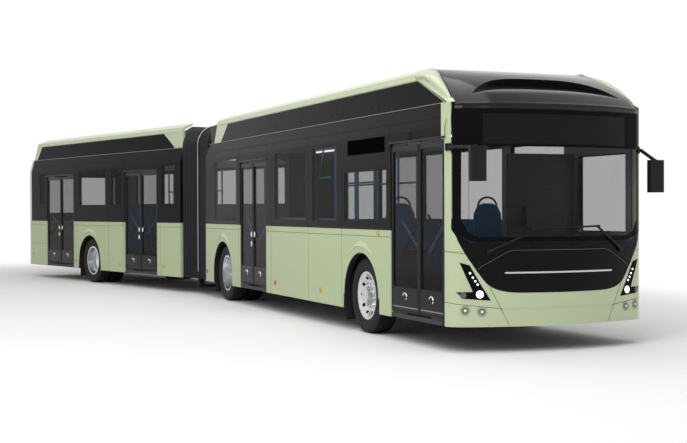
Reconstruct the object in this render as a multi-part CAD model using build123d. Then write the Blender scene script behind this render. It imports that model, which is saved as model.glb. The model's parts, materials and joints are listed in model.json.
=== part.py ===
from build123d import *
import os
from math import cos, radians, sin, sqrt

os.makedirs("parts", exist_ok=True)

# An articulated low-floor city bus, in millimetres.
# X runs across it (the door side is -X), Y runs rearwards from the nose, Z up from the road.
# The rear section is modelled straight behind the front one and then swung by REST_BEND.

# Overall sizes
WIDTH = 2550
SKIRT_Z = 287
WINDOW_TOP_Z = 2460
ROOF_EDGE_Z = 2730
SHOULDER_IN = 70
WALL = 60
FRONT_LENGTH = 9700
REAR_LENGTH = 7400
GAP_HALF = 770
REST_BEND = 13.755

HALF = WIDTH / 2
PIVOT_Y = FRONT_LENGTH + GAP_HALF
REAR_START = PIVOT_Y + GAP_HALF
REAR_END = REAR_START + REAR_LENGTH
INNER = HALF - WALL
SHOULDER_X = HALF - SHOULDER_IN

TAIL_T = 60

# Running clearances
SEAT_GAP = 0.3
MOVING_GAP = 6

# Floor and roof
FLOOR_TOP = 340
FLOOR_T = 50
CEILING_Z = 2600
DUCT_WIDTH = 330
END_PLATE_T = 40

# Plan curve of the nose: one wide arc, then a tighter one into each side
NOSE_ARC_X = HALF - 186
NOSE_ARC_Y = 203
NOSE_CORNER = (HALF - 47, 300)
NOSE_BACK_Y = 430

# Wheels
TYRE_R = 475
TYRE_W = 275
TYRE_SHOULDER = 32
RIM_R = 292
RIM_LIP = 12
RIM_WALL = 14
RIM_IN = 22
RIM_FLANGE = 8
TWIN_PITCH = 310
WHEEL_FACE_X = HALF - 63
HUB_R = 95
STUB_R = 45
BORE_GAP = 0.3
AXLE_Y = {"front": 2665, "middle": FRONT_LENGTH - 1030, "rear": REAR_START + 4080}
ARCH_HALF = {"front": 575, "middle": 545, "rear": 560}
ARCH_R = 545
BOX_INNER_X = {"front": HALF - 730, "middle": HALF - 755, "rear": HALF - 755}
BOX_HALF = {"front": 592, "middle": 560, "rear": 572}
BOX_TOP = 1062
BOX_T = 10
JACK_BACK = {"front": 700, "middle": -700, "rear": 700}
JACK_PAD = 140
JACK_DROP = 15
AXLE_Z = TYRE_R
WHEEL_X = WHEEL_FACE_X - TYRE_W / 2
TWIN_MID_X = WHEEL_X - TWIN_PITCH / 2
KINGPIN_X = HALF - 315

# Doors: name, section, front jamb, meeting line, rear jamb
DOORS = (
    ("door_1", "front", 374, 1003, 1753),
    ("door_2", "front", 6349, 7014, 7676),
    ("door_3", "rear", REAR_START + 950, REAR_START + 1650, REAR_START + 2360),
    ("door_4", "rear", REAR_START + 4890, REAR_START + 5620, REAR_START + 6390),
)
DOOR_TOP = 2335
LEAF_T = 40
LEAF_RECESS = 12
LEAF_FRAME = 42
LEAF_SILL = 150
ARM_T = 15
ARM_W = 30
ARM_CLEAR = 5
JAMB_GAP = 8
MEETING_GAP = 6
PIN_IN = 27
DOOR_SWING = 85

# Windows on each wall: front edge, rear edge, lower edge, upper edge
WINDOWS = {
    ("front", -1): ((1835, 3230, 1377, 2080), (3414, 4390, 1373, 2452),
                    (4600, 5970, 1368, 2452), (FRONT_LENGTH - 1850, FRONT_LENGTH - 510, 1338, 2440)),
    ("front", 1): ((520, 1560, 1250, 2250), (1835, 3230, 1377, 2452), (3414, 5970, 1370, 2452),
                   (6160, 7676, 1370, 2452),
                   (FRONT_LENGTH - 1850, FRONT_LENGTH - 510, 1338, 2440)),
    ("rear", -1): ((REAR_START + 180, REAR_START + 760, 1640, 2452), (REAR_START + 2490, REAR_START + 3010, 1630, 2440),
                   (REAR_START + 3240, REAR_START + 4620, 1633, 2440),
                   (REAR_START + 6490, REAR_START + 6850, 1668, 2440)),
    ("rear", 1): ((REAR_START + 180, REAR_START + 760, 1640, 2452), (REAR_START + 950, REAR_START + 3010, 1640, 2452),
                  (REAR_START + 3240, REAR_START + 4620, 1640, 2440),
                  (REAR_START + 4890, REAR_START + 6850, 1640, 2440)),
}
PANE_T = 8
PANE_LAND = 26
PANE_GAP = 1

# Roof fairings: skin of the long side covers and the painted rail on top of them
FAIRING_X = HALF - 75
RAIL_X = HALF - 60
RAIL_EDGE_Z = 3045
RAIL_TOP_X = HALF - 275
RAIL_TOP_Z = 3200
FAIRING_T = 30
FAIRING_FRONT_Y = 1130
CAP_BROW_Z = 2745
CAP_BROW_Y = 165
CAP_T = 40
CAP_EDGE_X = HALF - 90
SLOT_HALF = 800
COVER_FRONT_Y = 400
FAIRING_ENDS = {
    "front": (FRONT_LENGTH - 300, FRONT_LENGTH - 570),
    "rear": (REAR_END - 80, REAR_END - 420),
}


# Shapes

def block(x, y, z):
    """A box from its low and high value on each axis."""
    size = [high - low for low, high in (x, y, z)]
    centre = [(low + high) / 2 for low, high in (x, y, z)]
    return Pos(*centre) * Box(*size)


def prism(points, along, low, high):
    """A straight prism from 2-D points in the plane that faces the named axis."""
    if along == "x":
        corners = [(low, a, b) for a, b in points]
        way = (1, 0, 0)
    elif along == "y":
        corners = [(a, low, b) for a, b in points]
        way = (0, 1, 0)
    else:
        corners = [(a, b, low) for a, b in points]
        way = (0, 0, 1)
    outline = make_face(Polyline(*corners, close=True))
    return extrude(outline, high - low, dir=way)


def rod(start, end, radius):
    """A round bar between two points."""
    line = Vector(*end) - Vector(*start)
    place = Plane(origin=start, z_dir=line)
    return place * Cylinder(radius, line.length, align=(Align.CENTER, Align.CENTER, Align.MIN))


def turned(profile, centre_y, centre_z):
    """Turn a closed (x, radius) profile about the wheel axis, which runs along X."""
    corners = [(x, centre_y, centre_z + r) for x, r in profile]
    face = make_face(Polyline(*corners, close=True))
    return revolve(face, Axis((0, centre_y, centre_z), (1, 0, 0)), 360)


def mirrored(shape):
    return mirror(shape, Plane.YZ)


def both_sides(shape):
    return [shape, mirrored(shape)]


def nose_block(inset, back_y, low, high):
    """The nose's plan shape, set in by inset, closed at back_y and raised from low to high."""
    arc_r = (NOSE_ARC_X ** 2 + NOSE_ARC_Y ** 2) / (2 * NOSE_ARC_Y)
    slant = NOSE_ARC_X / arc_r
    edge = (NOSE_ARC_X - inset * slant, NOSE_ARC_Y + inset * sqrt(1 - slant ** 2))
    corner = (NOSE_CORNER[0] - inset * 0.82, NOSE_CORNER[1] + inset * 0.57)
    side = (HALF - inset, NOSE_BACK_Y)
    left = [(-x, y, low) for x, y in (side, corner, edge)]
    right = [(x, y, low) for x, y in (edge, corner, side)]
    back = [right[2], left[0]]
    if back_y > NOSE_BACK_Y:
        back[1:1] = [(HALF - inset, back_y, low), (inset - HALF, back_y, low)]
    wire = Wire([
        ThreePointArc(left[0], left[1], left[2]).edge(),
        ThreePointArc(left[2], (0, inset, low), right[0]).edge(),
        ThreePointArc(right[0], right[1], right[2]).edge(),
        *Polyline(*back).edges(),
    ])
    return extrude(make_face(wire), high - low, dir=(0, 0, 1))


def nose_shell(inset, thickness, low, high):
    """Skin of the nose with the first doorway's front jamb cut from it."""
    inner = nose_block(inset + thickness, NOSE_BACK_Y + 1, low - 1, high + 1)
    doorway = block((-HALF - 5, -INNER + 65), (DOORS[0][2], NOSE_BACK_Y + 5), (SKIRT_Z - 5, DOOR_TOP))
    return nose_block(inset, NOSE_BACK_Y, low, high) - inner - doorway


# Placing and saving

REAR_PLACE = Pos(0, PIVOT_Y, 0) * Rot(0, 0, REST_BEND) * Pos(0, -PIVOT_Y, 0)
TAIL_REACH = REAR_END - PIVOT_Y
TAIL_LOW_X = -TAIL_REACH * sin(radians(REST_BEND)) - HALF * cos(radians(REST_BEND))
TAIL_HIGH_Y = PIVOT_Y + TAIL_REACH * cos(radians(REST_BEND))
ORIGIN_X = (TAIL_LOW_X + HALF) / 2
ORIGIN_Y = TAIL_HIGH_Y / 2
TO_ORIGIN = Pos(-ORIGIN_X, -ORIGIN_Y, 0)


def save(name, pieces, section="front"):
    """Write one node; the rear section's pieces swing with it."""
    solids = []
    for piece in pieces:
        solids += list(piece.solids())
    place = TO_ORIGIN * REAR_PLACE if section == "rear" else TO_ORIGIN
    export_step(Compound([place * solid for solid in solids]), f"parts/{name}.step")


SECTION_Y = {"front": (NOSE_BACK_Y, FRONT_LENGTH), "rear": (REAR_START, REAR_END - TAIL_T)}
SECTION_AXLES = {"front": ("front", "middle"), "rear": ("rear",)}


# Side walls and glass

def section_doors(section):
    return [door for door in DOORS if door[1] == section]


def side_wall(section, side):
    """One wall with its windows, doorways and wheel arches cut."""
    start, end = SECTION_Y[section]
    profile = [(HALF, SKIRT_Z), (HALF, WINDOW_TOP_Z), (SHOULDER_X, ROOF_EDGE_Z),
               (SHOULDER_X - WALL, ROOF_EDGE_Z), (INNER, WINDOW_TOP_Z), (INNER, SKIRT_Z)]
    wall = prism([(side * x, z) for x, z in profile], "y", start, end)
    outer = side * HALF
    for front, rear, low, high in WINDOWS[section, side]:
        land = PANE_LAND
        hole = block(sorted((side * (INNER - 5), side * (HALF + 5))),
                     (front + land, rear - land), (low + land, high - land))
        rebate = block(sorted((outer - side * (PANE_T + PANE_GAP), outer + side * 5)),
                       (front, rear), (low, high))
        wall -= hole
        wall -= rebate
    if side < 0:
        for name, where, front, meeting, rear in section_doors(section):
            wall -= block((-HALF - 5, -INNER + 5), (front, rear), (SKIRT_Z - 5, DOOR_TOP))
    for axle in SECTION_AXLES[section]:
        centre = AXLE_Y[axle]
        half = ARCH_HALF[axle]
        across = sorted((side * (INNER - 5), side * (HALF + 5)))
        round_part = rod((across[0], centre, AXLE_Z), (across[1], centre, AXLE_Z), ARCH_R)
        wall -= round_part
        wall -= block(across, (centre - half, centre + half), (SKIRT_Z - 5, AXLE_Z))
    return wall


def panes(section, side):
    outer = side * (HALF - PANE_GAP)
    across = sorted((outer, outer - side * PANE_T))
    return [block(across, (front + PANE_GAP, rear - PANE_GAP), (low + PANE_GAP, high - PANE_GAP))
            for front, rear, low, high in WINDOWS[section, side]]


# Floor, wheel boxes and roof

def wheel_box(axle, side):
    """A closed box over a wheel, open below and towards the wall."""
    centre = AXLE_Y[axle]
    inner_x = BOX_INNER_X[axle]
    half = BOX_HALF[axle]
    shell = block((inner_x, INNER), (centre - half, centre + half), (FLOOR_TOP - FLOOR_T, BOX_TOP))
    hollow = block((inner_x + BOX_T, INNER + 1), (centre - half + BOX_T, centre + half - BOX_T),
                   (0, BOX_TOP - BOX_T))
    box = shell - hollow
    return box if side > 0 else mirrored(box)


def jack_pad(axle):
    """Pad under the floor frame behind an axle, where a lifting jack goes."""
    y = AXLE_Y[axle] + JACK_BACK[axle]
    half = JACK_PAD / 2
    return block((-half, half), (y - half, y + half), (FLOOR_TOP - FLOOR_T - JACK_DROP, FLOOR_TOP - FLOOR_T + 1))


def floor(section):
    start, end = SECTION_Y[section]
    low = FLOOR_TOP - FLOOR_T
    slab = block((-INNER, INNER), (start, end), (low, FLOOR_TOP))
    for name, where, front, meeting, rear in section_doors(section):
        slab += block((-HALF + LEAF_RECESS, -INNER + 1), (max(front, start) + 1, rear - 1), (low, FLOOR_TOP))
    for axle in SECTION_AXLES[section]:
        centre = AXLE_Y[axle]
        half = BOX_HALF[axle]
        for side in (-1, 1):
            across = sorted((side * BOX_INNER_X[axle], side * (INNER + 1)))
            slab -= block(across, (centre - half, centre + half), (low - 1, FLOOR_TOP + 1))
        for side in (-1, 1):
            slab += wheel_box(axle, side)
    if section == "rear":
        slab -= block((MOTOR_BOX_X + BOX_T, INNER - BOX_T), [MOTOR_BOX_Y[0] + BOX_T, MOTOR_BOX_Y[1] - BOX_T],
                      (low - 1, FLOOR_TOP + 1))
        cover = block((MOTOR_BOX_X, INNER), MOTOR_BOX_Y, (FLOOR_TOP - 1, MOTOR_BOX_TOP))
        cover -= block((MOTOR_BOX_X + BOX_T, INNER - BOX_T), [MOTOR_BOX_Y[0] + BOX_T, MOTOR_BOX_Y[1] - BOX_T],
                       (FLOOR_TOP - 2, MOTOR_BOX_TOP - BOX_T))
        slab += cover
    for axle in SECTION_AXLES[section]:
        slab += jack_pad(axle)
    return slab + turntable(section)


def roof(section):
    """Roof panel with the air ducts along both sides of the ceiling."""
    start, end = SECTION_Y[section]
    low = WINDOW_TOP_Z + 5
    lean = SHOULDER_IN / (ROOF_EDGE_Z - WINDOW_TOP_Z)
    profile = [(SHOULDER_X - WALL - SEAT_GAP, ROOF_EDGE_Z), (INNER - lean * 5 - SEAT_GAP, low),
               (INNER - DUCT_WIDTH, CEILING_Z)]
    outline = profile + [(-x, z) for x, z in reversed(profile)]
    panel = prism(outline, "y", start, end)
    plate = [(SHOULDER_X - WALL - 6, ROOF_EDGE_Z - 1), (FAIRING_X - FAIRING_T - SEAT_GAP, ROOF_EDGE_Z + 5),
             (FAIRING_X - FAIRING_T - SEAT_GAP, RAIL_EDGE_Z), (RAIL_TOP_X, RAIL_TOP_Z - FAIRING_T - 30)]
    plate += [(-x, z) for x, z in reversed(plate)]
    joint_end = (end - END_PLATE_T, end) if section == "front" else (start, start + END_PLATE_T)
    return panel + prism(plate, "y", *joint_end)


# Articulation

TURNTABLE_R = 600
SLEW_R = 330
FRAME_LOW_Z = 180
FRAME_T = 45
BELLOWS_HALF_X = HALF - 35
BELLOWS_LOW_Z = 290
BELLOWS_TOP_Z = 3105
BELLOWS_CORNER = 350
BELLOWS_DEPTH = 90
PLEATS = 5
PLEAT_DEPTH = 45
HOOP_T = 40
HOOP_LOW_Z = 130
WALK_HALF = 450
PIVOT_PIN_R = 60


def tunnel_face(inset, low, station, turn):
    """Portal outline in the plane at a signed distance from the pivot, turned about it."""
    place = Pos(0, PIVOT_Y, 0) * Rot(0, 0, turn) * Pos(0, station, 0)
    half = BELLOWS_HALF_X - inset
    top = BELLOWS_TOP_Z - inset
    corner = BELLOWS_CORNER - inset
    slant = corner * (1 - sqrt(0.5))
    left = [(-half, 0, low), (-half, 0, top - corner), (slant - half, 0, top - slant), (corner - half, 0, top)]
    right = [(-x, y, z) for x, y, z in left]
    wire = Wire([
        Line(left[0], left[1]).edge(),
        ThreePointArc(left[1], left[2], left[3]).edge(),
        Line(left[3], right[3]).edge(),
        ThreePointArc(right[3], right[2], right[1]).edge(),
        Line(right[1], right[0]).edge(),
        Line(right[0], left[0]).edge(),
    ])
    return place * make_face(wire)


def bellows_half(near, far, near_turn, far_turn):
    """Half the tunnel: pleats outside, plain lining inside."""
    outline = []
    folds = 2 * PLEATS
    for i in range(folds + 1):
        share = i / folds
        station = near + (far - near) * share
        turn = near_turn + (far_turn - near_turn) * share
        outline.append(tunnel_face(PLEAT_DEPTH * (i % 2), BELLOWS_LOW_Z, station, turn))
    outer = loft(outline, ruled=True)
    inner = loft([tunnel_face(BELLOWS_DEPTH, BELLOWS_LOW_Z - 50, near, near_turn),
                  tunnel_face(BELLOWS_DEPTH, BELLOWS_LOW_Z - 50, far, far_turn)], ruled=True)
    return outer - inner


def bellows():
    reach = GAP_HALF - SEAT_GAP
    mid = HOOP_T / 2 + SEAT_GAP
    return [bellows_half(-reach, -mid, 0, REST_BEND / 2), bellows_half(mid, reach, REST_BEND / 2, REST_BEND)]


def centre_frame():
    """The hoop in the middle of the bellows, turned by half the bend, on its cross beam."""
    turn = REST_BEND / 2
    way = Vector(0, 1, 0).rotate(Axis.Z, turn)
    hoop = extrude(tunnel_face(-10, HOOP_LOW_Z, -HOOP_T / 2, turn), HOOP_T, dir=way)
    hoop -= extrude(tunnel_face(BELLOWS_DEPTH + 10, HOOP_LOW_Z + FRAME_T, -HOOP_T / 2 - 1, turn),
                    HOOP_T + 2, dir=way)
    hoop += Pos(0, PIVOT_Y, HOOP_LOW_Z + FRAME_T / 2) * Cylinder(2 * PIVOT_PIN_R, FRAME_T)
    return hoop - Pos(0, PIVOT_Y, HOOP_LOW_Z) * Cylinder(PIVOT_PIN_R + BORE_GAP, 4 * FRAME_T)


def turntable(section):
    """Front: walkway plate and lower frame arm. Rear: turning disc, its hub and the pivot pin."""
    low = FLOOR_TOP - FLOOR_T
    if section == "front":
        walk = block((-WALK_HALF, WALK_HALF), (FRONT_LENGTH - 1, PIVOT_Y), (low, FLOOR_TOP))
        walk -= Pos(0, PIVOT_Y, FLOOR_TOP) * Cylinder(TURNTABLE_R + MOVING_GAP, 4 * FLOOR_T)
        arm = block((-SLEW_R, SLEW_R), (FRONT_LENGTH - 300, PIVOT_Y), (FRAME_LOW_Z, FRAME_LOW_Z + FRAME_T))
        arm += Pos(0, PIVOT_Y, FRAME_LOW_Z + FRAME_T / 2) * Cylinder(SLEW_R, FRAME_T)
        arm += block((-SLEW_R, SLEW_R), (FRONT_LENGTH - 300, FRONT_LENGTH - 60), (FRAME_LOW_Z, low + 1))
        return walk + (arm - Pos(0, PIVOT_Y, FRAME_LOW_Z) * Cylinder(PIVOT_PIN_R + BORE_GAP, 4 * FRAME_T))
    disc = Pos(0, PIVOT_Y, (low + FLOOR_TOP) / 2) * Cylinder(TURNTABLE_R, FLOOR_T)
    disc += block((-WALK_HALF, WALK_HALF), (PIVOT_Y, REAR_START + 1), (low, FLOOR_TOP))
    hub_low = FRAME_LOW_Z + FRAME_T + SEAT_GAP
    disc += Pos(0, PIVOT_Y, (hub_low + low) / 2) * Cylinder(SLEW_R, low - hub_low)
    pin_low = HOOP_LOW_Z - 5
    disc += Pos(0, PIVOT_Y, (pin_low + low) / 2) * Cylinder(PIVOT_PIN_R, low - pin_low)
    return disc


# Wheels, hubs and axles

def tyre(centre_x, side, centre_y):
    """A tyre with rounded shoulders and bulged walls."""
    half = TYRE_W / 2
    bead = RIM_R + SEAT_GAP
    heel = half - RIM_IN - RIM_FLANGE - SEAT_GAP
    tread = half - TYRE_SHOULDER
    profile = [(-heel, bead), (-heel, bead + RIM_LIP + 2), (-half * 0.93, bead + 38), (-half, bead + 85), (-half * 0.97, TYRE_R - 55),
               (-half * 0.88, TYRE_R - 18), (-tread, TYRE_R - 4), (0, TYRE_R)]
    ring = profile + [(-x, r) for x, r in reversed(profile[:-1])]
    return turned([(side * centre_x + x, r) for x, r in ring], centre_y, AXLE_Z)


def rim(centre_x, disc_x, side, centre_y, hub_out):
    """Rim barrel, disc and hub in one turned piece; hub_out is the hub's outer end."""
    half = TYRE_W / 2 - RIM_IN
    out = centre_x + half
    back = centre_x - half
    profile = [(out, RIM_R + RIM_LIP), (out, RIM_R - RIM_WALL), (disc_x + 60, RIM_R - RIM_WALL - 26),
               (disc_x + 12, 200), (disc_x + 12, HUB_R + 20), (hub_out, HUB_R), (hub_out, STUB_R + BORE_GAP),
               (disc_x - 20, STUB_R + BORE_GAP), (disc_x - 20, HUB_R + 20), (disc_x - 4, 205),
               (back + 24, RIM_R - RIM_WALL - 24), (back, RIM_R - RIM_WALL), (back, RIM_R + RIM_LIP),
               (back + RIM_FLANGE, RIM_R + RIM_LIP), (back + RIM_FLANGE, RIM_R), (out - RIM_FLANGE, RIM_R),
               (out - RIM_FLANGE, RIM_R + RIM_LIP)]
    return turned([(side * x, r) for x, r in profile], centre_y, AXLE_Z)


def knuckle(side, centre_y):
    """Steering knuckle: two lugs on the kingpin, a web and the stub for the wheel."""
    x = KINGPIN_X
    web_in = x + 62
    body = block((web_in, web_in + 26), (centre_y - 38, centre_y + 38), (AXLE_Z - 112, AXLE_Z + 112))
    for low in (AXLE_Z - 112, AXLE_Z + 76):
        lug = block((x, web_in + 5), (centre_y - 38, centre_y + 38), (low, low + 36))
        lug += Pos(x, centre_y, low + 18) * Cylinder(38, 36)
        body += lug
    body += rod((web_in + 20, centre_y, AXLE_Z), (WHEEL_FACE_X + 2, centre_y, AXLE_Z), STUB_R)
    body += block((x - 15, x + 15), (centre_y + 20, centre_y + 190), (AXLE_Z - 112, AXLE_Z - 92))
    return body if side > 0 else mirrored(body)


def front_beam():
    """Dropped axle beam with an eye for each kingpin."""
    y = AXLE_Y["front"]
    under = FLOOR_TOP - FLOOR_T - SEAT_GAP
    rise = BOX_INNER_X["front"] + BOX_T + 4
    half = [(0, 190), (rise + 70, 190), (rise + 130, 400), (KINGPIN_X, 410), (KINGPIN_X, AXLE_Z + 65),
            (rise, AXLE_Z + 65), (rise, under), (0, under)]
    outline = half + [(-x, z) for x, z in reversed(half[1:-1])]
    beam = prism(outline, "y", y - 42, y + 42)
    for side in (-1, 1):
        beam += Pos(side * KINGPIN_X, y, AXLE_Z) * Cylinder(42, 2 * (76 - SEAT_GAP))
    return beam


def portal_axle(axle):
    """Low portal axle: a dropped casing, an upright inside each wheel box and the stub shafts."""
    y = AXLE_Y[axle]
    inner = BOX_INNER_X[axle] + BOX_T + 12
    face = WHEEL_X - TWIN_PITCH - TYRE_W / 2 - 12
    casing = block((-face, face), (y - 80, y + 80), (180, FLOOR_TOP - FLOOR_T - SEAT_GAP))
    for side in (-1, 1):
        across = sorted((side * inner, side * face))
        casing += block(across, (y - 95, y + 95), (180, AXLE_Z + 110))
        casing += rod((side * inner, y, AXLE_Z), (side * (TWIN_MID_X + 80), y, AXLE_Z), STUB_R)
    return casing


# Doors

def door_leaf_size(front, meeting, rear, which):
    """The leaf's jamb edge and free edge along Y, and the way from one to the other."""
    if which == "front":
        return front + JAMB_GAP, meeting - MEETING_GAP / 2, 1
    return rear - JAMB_GAP, meeting + MEETING_GAP / 2, -1


LEAF_LOW = FLOOR_TOP + ARM_CLEAR + ARM_T + ARM_CLEAR
LEAF_TOP = DOOR_TOP - ARM_CLEAR - ARM_T - ARM_CLEAR
LEAF_X = -HALF + LEAF_RECESS + LEAF_T / 2


def door_pins(jamb, free, way):
    """Fixed pin and leaf pin: the leaf pin lies halfway from the fixed pin to the free edge."""
    fixed = jamb + way * (PIN_IN - JAMB_GAP)
    return fixed, (fixed + free) / 2


def door_leaf(jamb, free, way):
    span = sorted((jamb, free))
    across = (LEAF_X - LEAF_T / 2, LEAF_X + LEAF_T / 2)
    leaf = block(across, span, (LEAF_LOW, LEAF_TOP))
    glass_y = (span[0] + LEAF_FRAME, span[1] - LEAF_FRAME)
    glass_z = (LEAF_LOW + LEAF_SILL, LEAF_TOP - LEAF_FRAME - 20)
    leaf -= block((across[0] - 1, across[1] + 1), glass_y, glass_z)
    fixed, pin = door_pins(jamb, free, way)
    leaf += Pos(LEAF_X, pin, LEAF_LOW - (ARM_CLEAR - SEAT_GAP) / 2) * Cylinder(12, ARM_CLEAR - SEAT_GAP)
    leaf += Pos(LEAF_X, pin, LEAF_TOP + (ARM_CLEAR - SEAT_GAP) / 2) * Cylinder(12, ARM_CLEAR - SEAT_GAP)
    rail_x = across[1] + 45
    low_end = (rail_x, glass_y[0] + 20, 1000)
    high_end = (rail_x, glass_y[1] - 20, 1500)
    if way < 0:
        low_end, high_end = (rail_x, glass_y[1] - 20, 1000), (rail_x, glass_y[0] + 20, 1500)
    rail = rod(low_end, high_end, 15)
    for share in (0.12, 0.88):
        y, z = [low_end[i] + share * (high_end[i] - low_end[i]) for i in (1, 2)]
        edge = glass_y[0] - 12 if share == (0.12 if way > 0 else 0.88) else glass_y[1] + 12
        rail += block((rail_x - 9, rail_x + 9), sorted((y, edge)), (z - 9, z + 9))
        rail += block((across[1] - 1, rail_x + 9), (edge - 9, edge + 9), (z - 9, z + 9))
    leaf += rail
    middle = LEAF_X - 4
    pane = block((middle - 5, middle + 5), (glass_y[0] + SEAT_GAP, glass_y[1] - SEAT_GAP),
                 (glass_z[0] + SEAT_GAP, glass_z[1] - SEAT_GAP))
    return [leaf, pane]


def door_arms(jamb, free, way):
    """Lower and upper carrying arm, from the fixed pin in floor and header to the leaf pin."""
    fixed, pin = door_pins(jamb, free, way)
    arms = []
    layers = ((FLOOR_TOP + ARM_CLEAR, -1), (DOOR_TOP - ARM_CLEAR - ARM_T, 1))
    for low, towards in layers:
        span = sorted((fixed, pin))
        arm = block((LEAF_X - ARM_W / 2, LEAF_X + ARM_W / 2), span, (low, low + ARM_T))
        for y in (fixed, pin):
            arm += Pos(LEAF_X, y, low + ARM_T / 2) * Cylinder(ARM_W / 2, ARM_T)
        reach = ARM_CLEAR - SEAT_GAP
        stem = low - reach / 2 if towards < 0 else low + ARM_T + reach / 2
        arm += Pos(LEAF_X, fixed, stem) * Cylinder(12, reach)
        arms.append(arm)
    return arms


# Seats, rails and the driver's place

SEAT_W = 430
SEAT_DEPTH = 420
SEAT_Z = 440
SEAT_BACK = 620
SEAT_SHELL = 45
AISLE_HALF = INNER - 2 * SEAT_W - 25
SEAT_X = (AISLE_HALF + SEAT_W / 2, AISLE_HALF + SEAT_W / 2 + SEAT_W + 10)
MOTOR_BOX_X = AISLE_HALF - 10
MOTOR_BOX_Y = (REAR_START + 4750, REAR_START + 6240)
MOTOR_BOX_TOP = 640
SEAT_ROWS = {
    ("front", -1): ((3620, FLOOR_TOP), (4400, FLOOR_TOP), (5180, FLOOR_TOP)),
    ("front", 1): ((3620, FLOOR_TOP), (4400, FLOOR_TOP), (5180, FLOOR_TOP), (5960, FLOOR_TOP),
                   (6740, FLOOR_TOP)),
    ("rear", -1): ((REAR_START + 2910, FLOOR_TOP),),
    ("rear", 1): ((REAR_START + 610, FLOOR_TOP), (REAR_START + 1370, FLOOR_TOP), (REAR_START + 2130, FLOOR_TOP),
                  (REAR_START + 2890, FLOOR_TOP), (REAR_START + 4810, MOTOR_BOX_TOP),
                  (REAR_START + 5560, MOTOR_BOX_TOP)),
}
POLE_R = 17


def seat(x, y, base):
    """A shell seat that faces forwards, on its foot; y is the front of the cushion."""
    pan = base + SEAT_Z
    back = y + SEAT_DEPTH
    side = [(y, pan - SEAT_SHELL), (y, pan), (back - 20, pan - 15), (back + 70, pan + SEAT_BACK),
            (back + 70 + SEAT_SHELL, pan + SEAT_BACK), (back + SEAT_SHELL, pan - 60), (y + 260, pan - 60)]
    shell = prism(side, "x", x - SEAT_W / 2, x + SEAT_W / 2)
    leg = block((x - 30, x + 30), (y + 150, y + 210), (base, pan - 40))
    return shell + leg


def seats(section):
    made = []
    for side in (-1, 1):
        for y, base in SEAT_ROWS[section, side]:
            for x in SEAT_X:
                made.append(seat(side * x, y, base + SEAT_GAP))
    return made


def poles(section):
    """Floor-to-ceiling poles at the aisle end of the seat rows, with a rail between them."""
    made = []
    top = CEILING_Z - SEAT_GAP
    for side in (-1, 1):
        x = side * (AISLE_HALF + POLE_R)
        rows = SEAT_ROWS[section, side]
        stations = [y + SEAT_DEPTH + 180 for y, base in rows if base == FLOOR_TOP]
        for y in stations:
            made.append(rod((x, y, FLOOR_TOP + SEAT_GAP), (x, y, top), POLE_R))
        for near, far in zip(stations, stations[1:]):
            if far - near < 1000:
                gap = POLE_R + SEAT_GAP
                made.append(rod((x, near + gap, 1950), (x, far - gap, 1950), 14))
    return made


CAB_WALL_Y = 1640
DASH_Y = 420


def driver_cab():
    """Dashboard with the steering wheel, driver's seat and the wall behind it."""
    dash = prism([(DASH_Y - 120, FLOOR_TOP), (DASH_Y - 120, 1120), (DASH_Y + 70, 1130),
                  (DASH_Y + 190, 1010), (DASH_Y + 130, 640), (DASH_Y + 60, FLOOR_TOP)], "x", 735 - HALF, HALF - 175)
    column = rod((640, NOSE_BACK_Y + 120, 950), (640, 850, 1060), 35)
    ring = Plane(origin=(640, 850, 1060), z_dir=(0, 210, 110)) * Torus(215, 16)
    hub = Plane(origin=(640, 850, 1060), z_dir=(0, 210, 110)) * Cylinder(60, 30)
    spoke = Plane(origin=(640, 850, 1060), z_dir=(0, 210, 110)) * Box(420, 40, 14)
    desk = dash + column + hub + spoke + ring
    pedestal = block((480, 900), (1000, CAB_WALL_Y), (FLOOR_TOP, FLOOR_TOP + 180))
    cushion = block((460, 900), (1050, 1480), (FLOOR_TOP + 480, FLOOR_TOP + 580))
    back = prism([(1440, FLOOR_TOP + 560), (1560, FLOOR_TOP + 1250), (1620, FLOOR_TOP + 1250),
                  (1520, FLOOR_TOP + 500), (1440, FLOOR_TOP + 500)], "x", 470, 890)
    stem = block((620, 740), (1200, 1320), (FLOOR_TOP + 170, FLOOR_TOP + 490))
    wall = block((260, INNER), (CAB_WALL_Y, CAB_WALL_Y + 30), (FLOOR_TOP, 2250))
    door = block((260, 290), (700, CAB_WALL_Y + 5), (FLOOR_TOP, 1350))
    return [desk, pedestal + stem + cushion + back + wall + door]


# Nose

SCREEN_SIDE_X = HALF - 53
SCREEN_CORNER = [(HALF - 55, 1360), (HALF - 125, 1268), (HALF - 225, 1200)]
MASK_SIDE = [(HALF - 53, 1345), (HALF - 179, 1085), (HALF - 395, 757), (HALF - 511, 692), (HALF - 748, 655)]
PILLAR_LOW = 1107
GRILLE_HALF = HALF - 715
GRILLE_ROWS = (730, 775, 820, 920, 965, 1010, 1055)
GRILLE_SLOT = 22
BAR_Z = 873
BAR_HALF = HALF - 575
LAMP = [(HALF - 119, 987), (HALF - 220, 957), (HALF - 339, 740), (HALF - 440, 573), (HALF - 160, 595),
        (HALF - 86, 665), (HALF - 252, 669)]
WINDSCREEN_LOW = 1200
WINDSCREEN_TOP = 2650
NOSE_T = 45


def across_nose(half):
    """A half outline in (x, z) from the side to the middle, closed over to the other side."""
    return half + [(-x, z) for x, z in reversed(half)]


def lamp_pocket(side, gap):
    """Boomerang of one headlamp, pushed through the nose."""
    face = make_face(Polyline(*[(side * x, 0, z) for x, z in LAMP], close=True))
    return extrude(offset(face, gap, kind=Kind.INTERSECTION) if gap else face, NOSE_BACK_Y, dir=(0, 1, 0))


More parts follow.
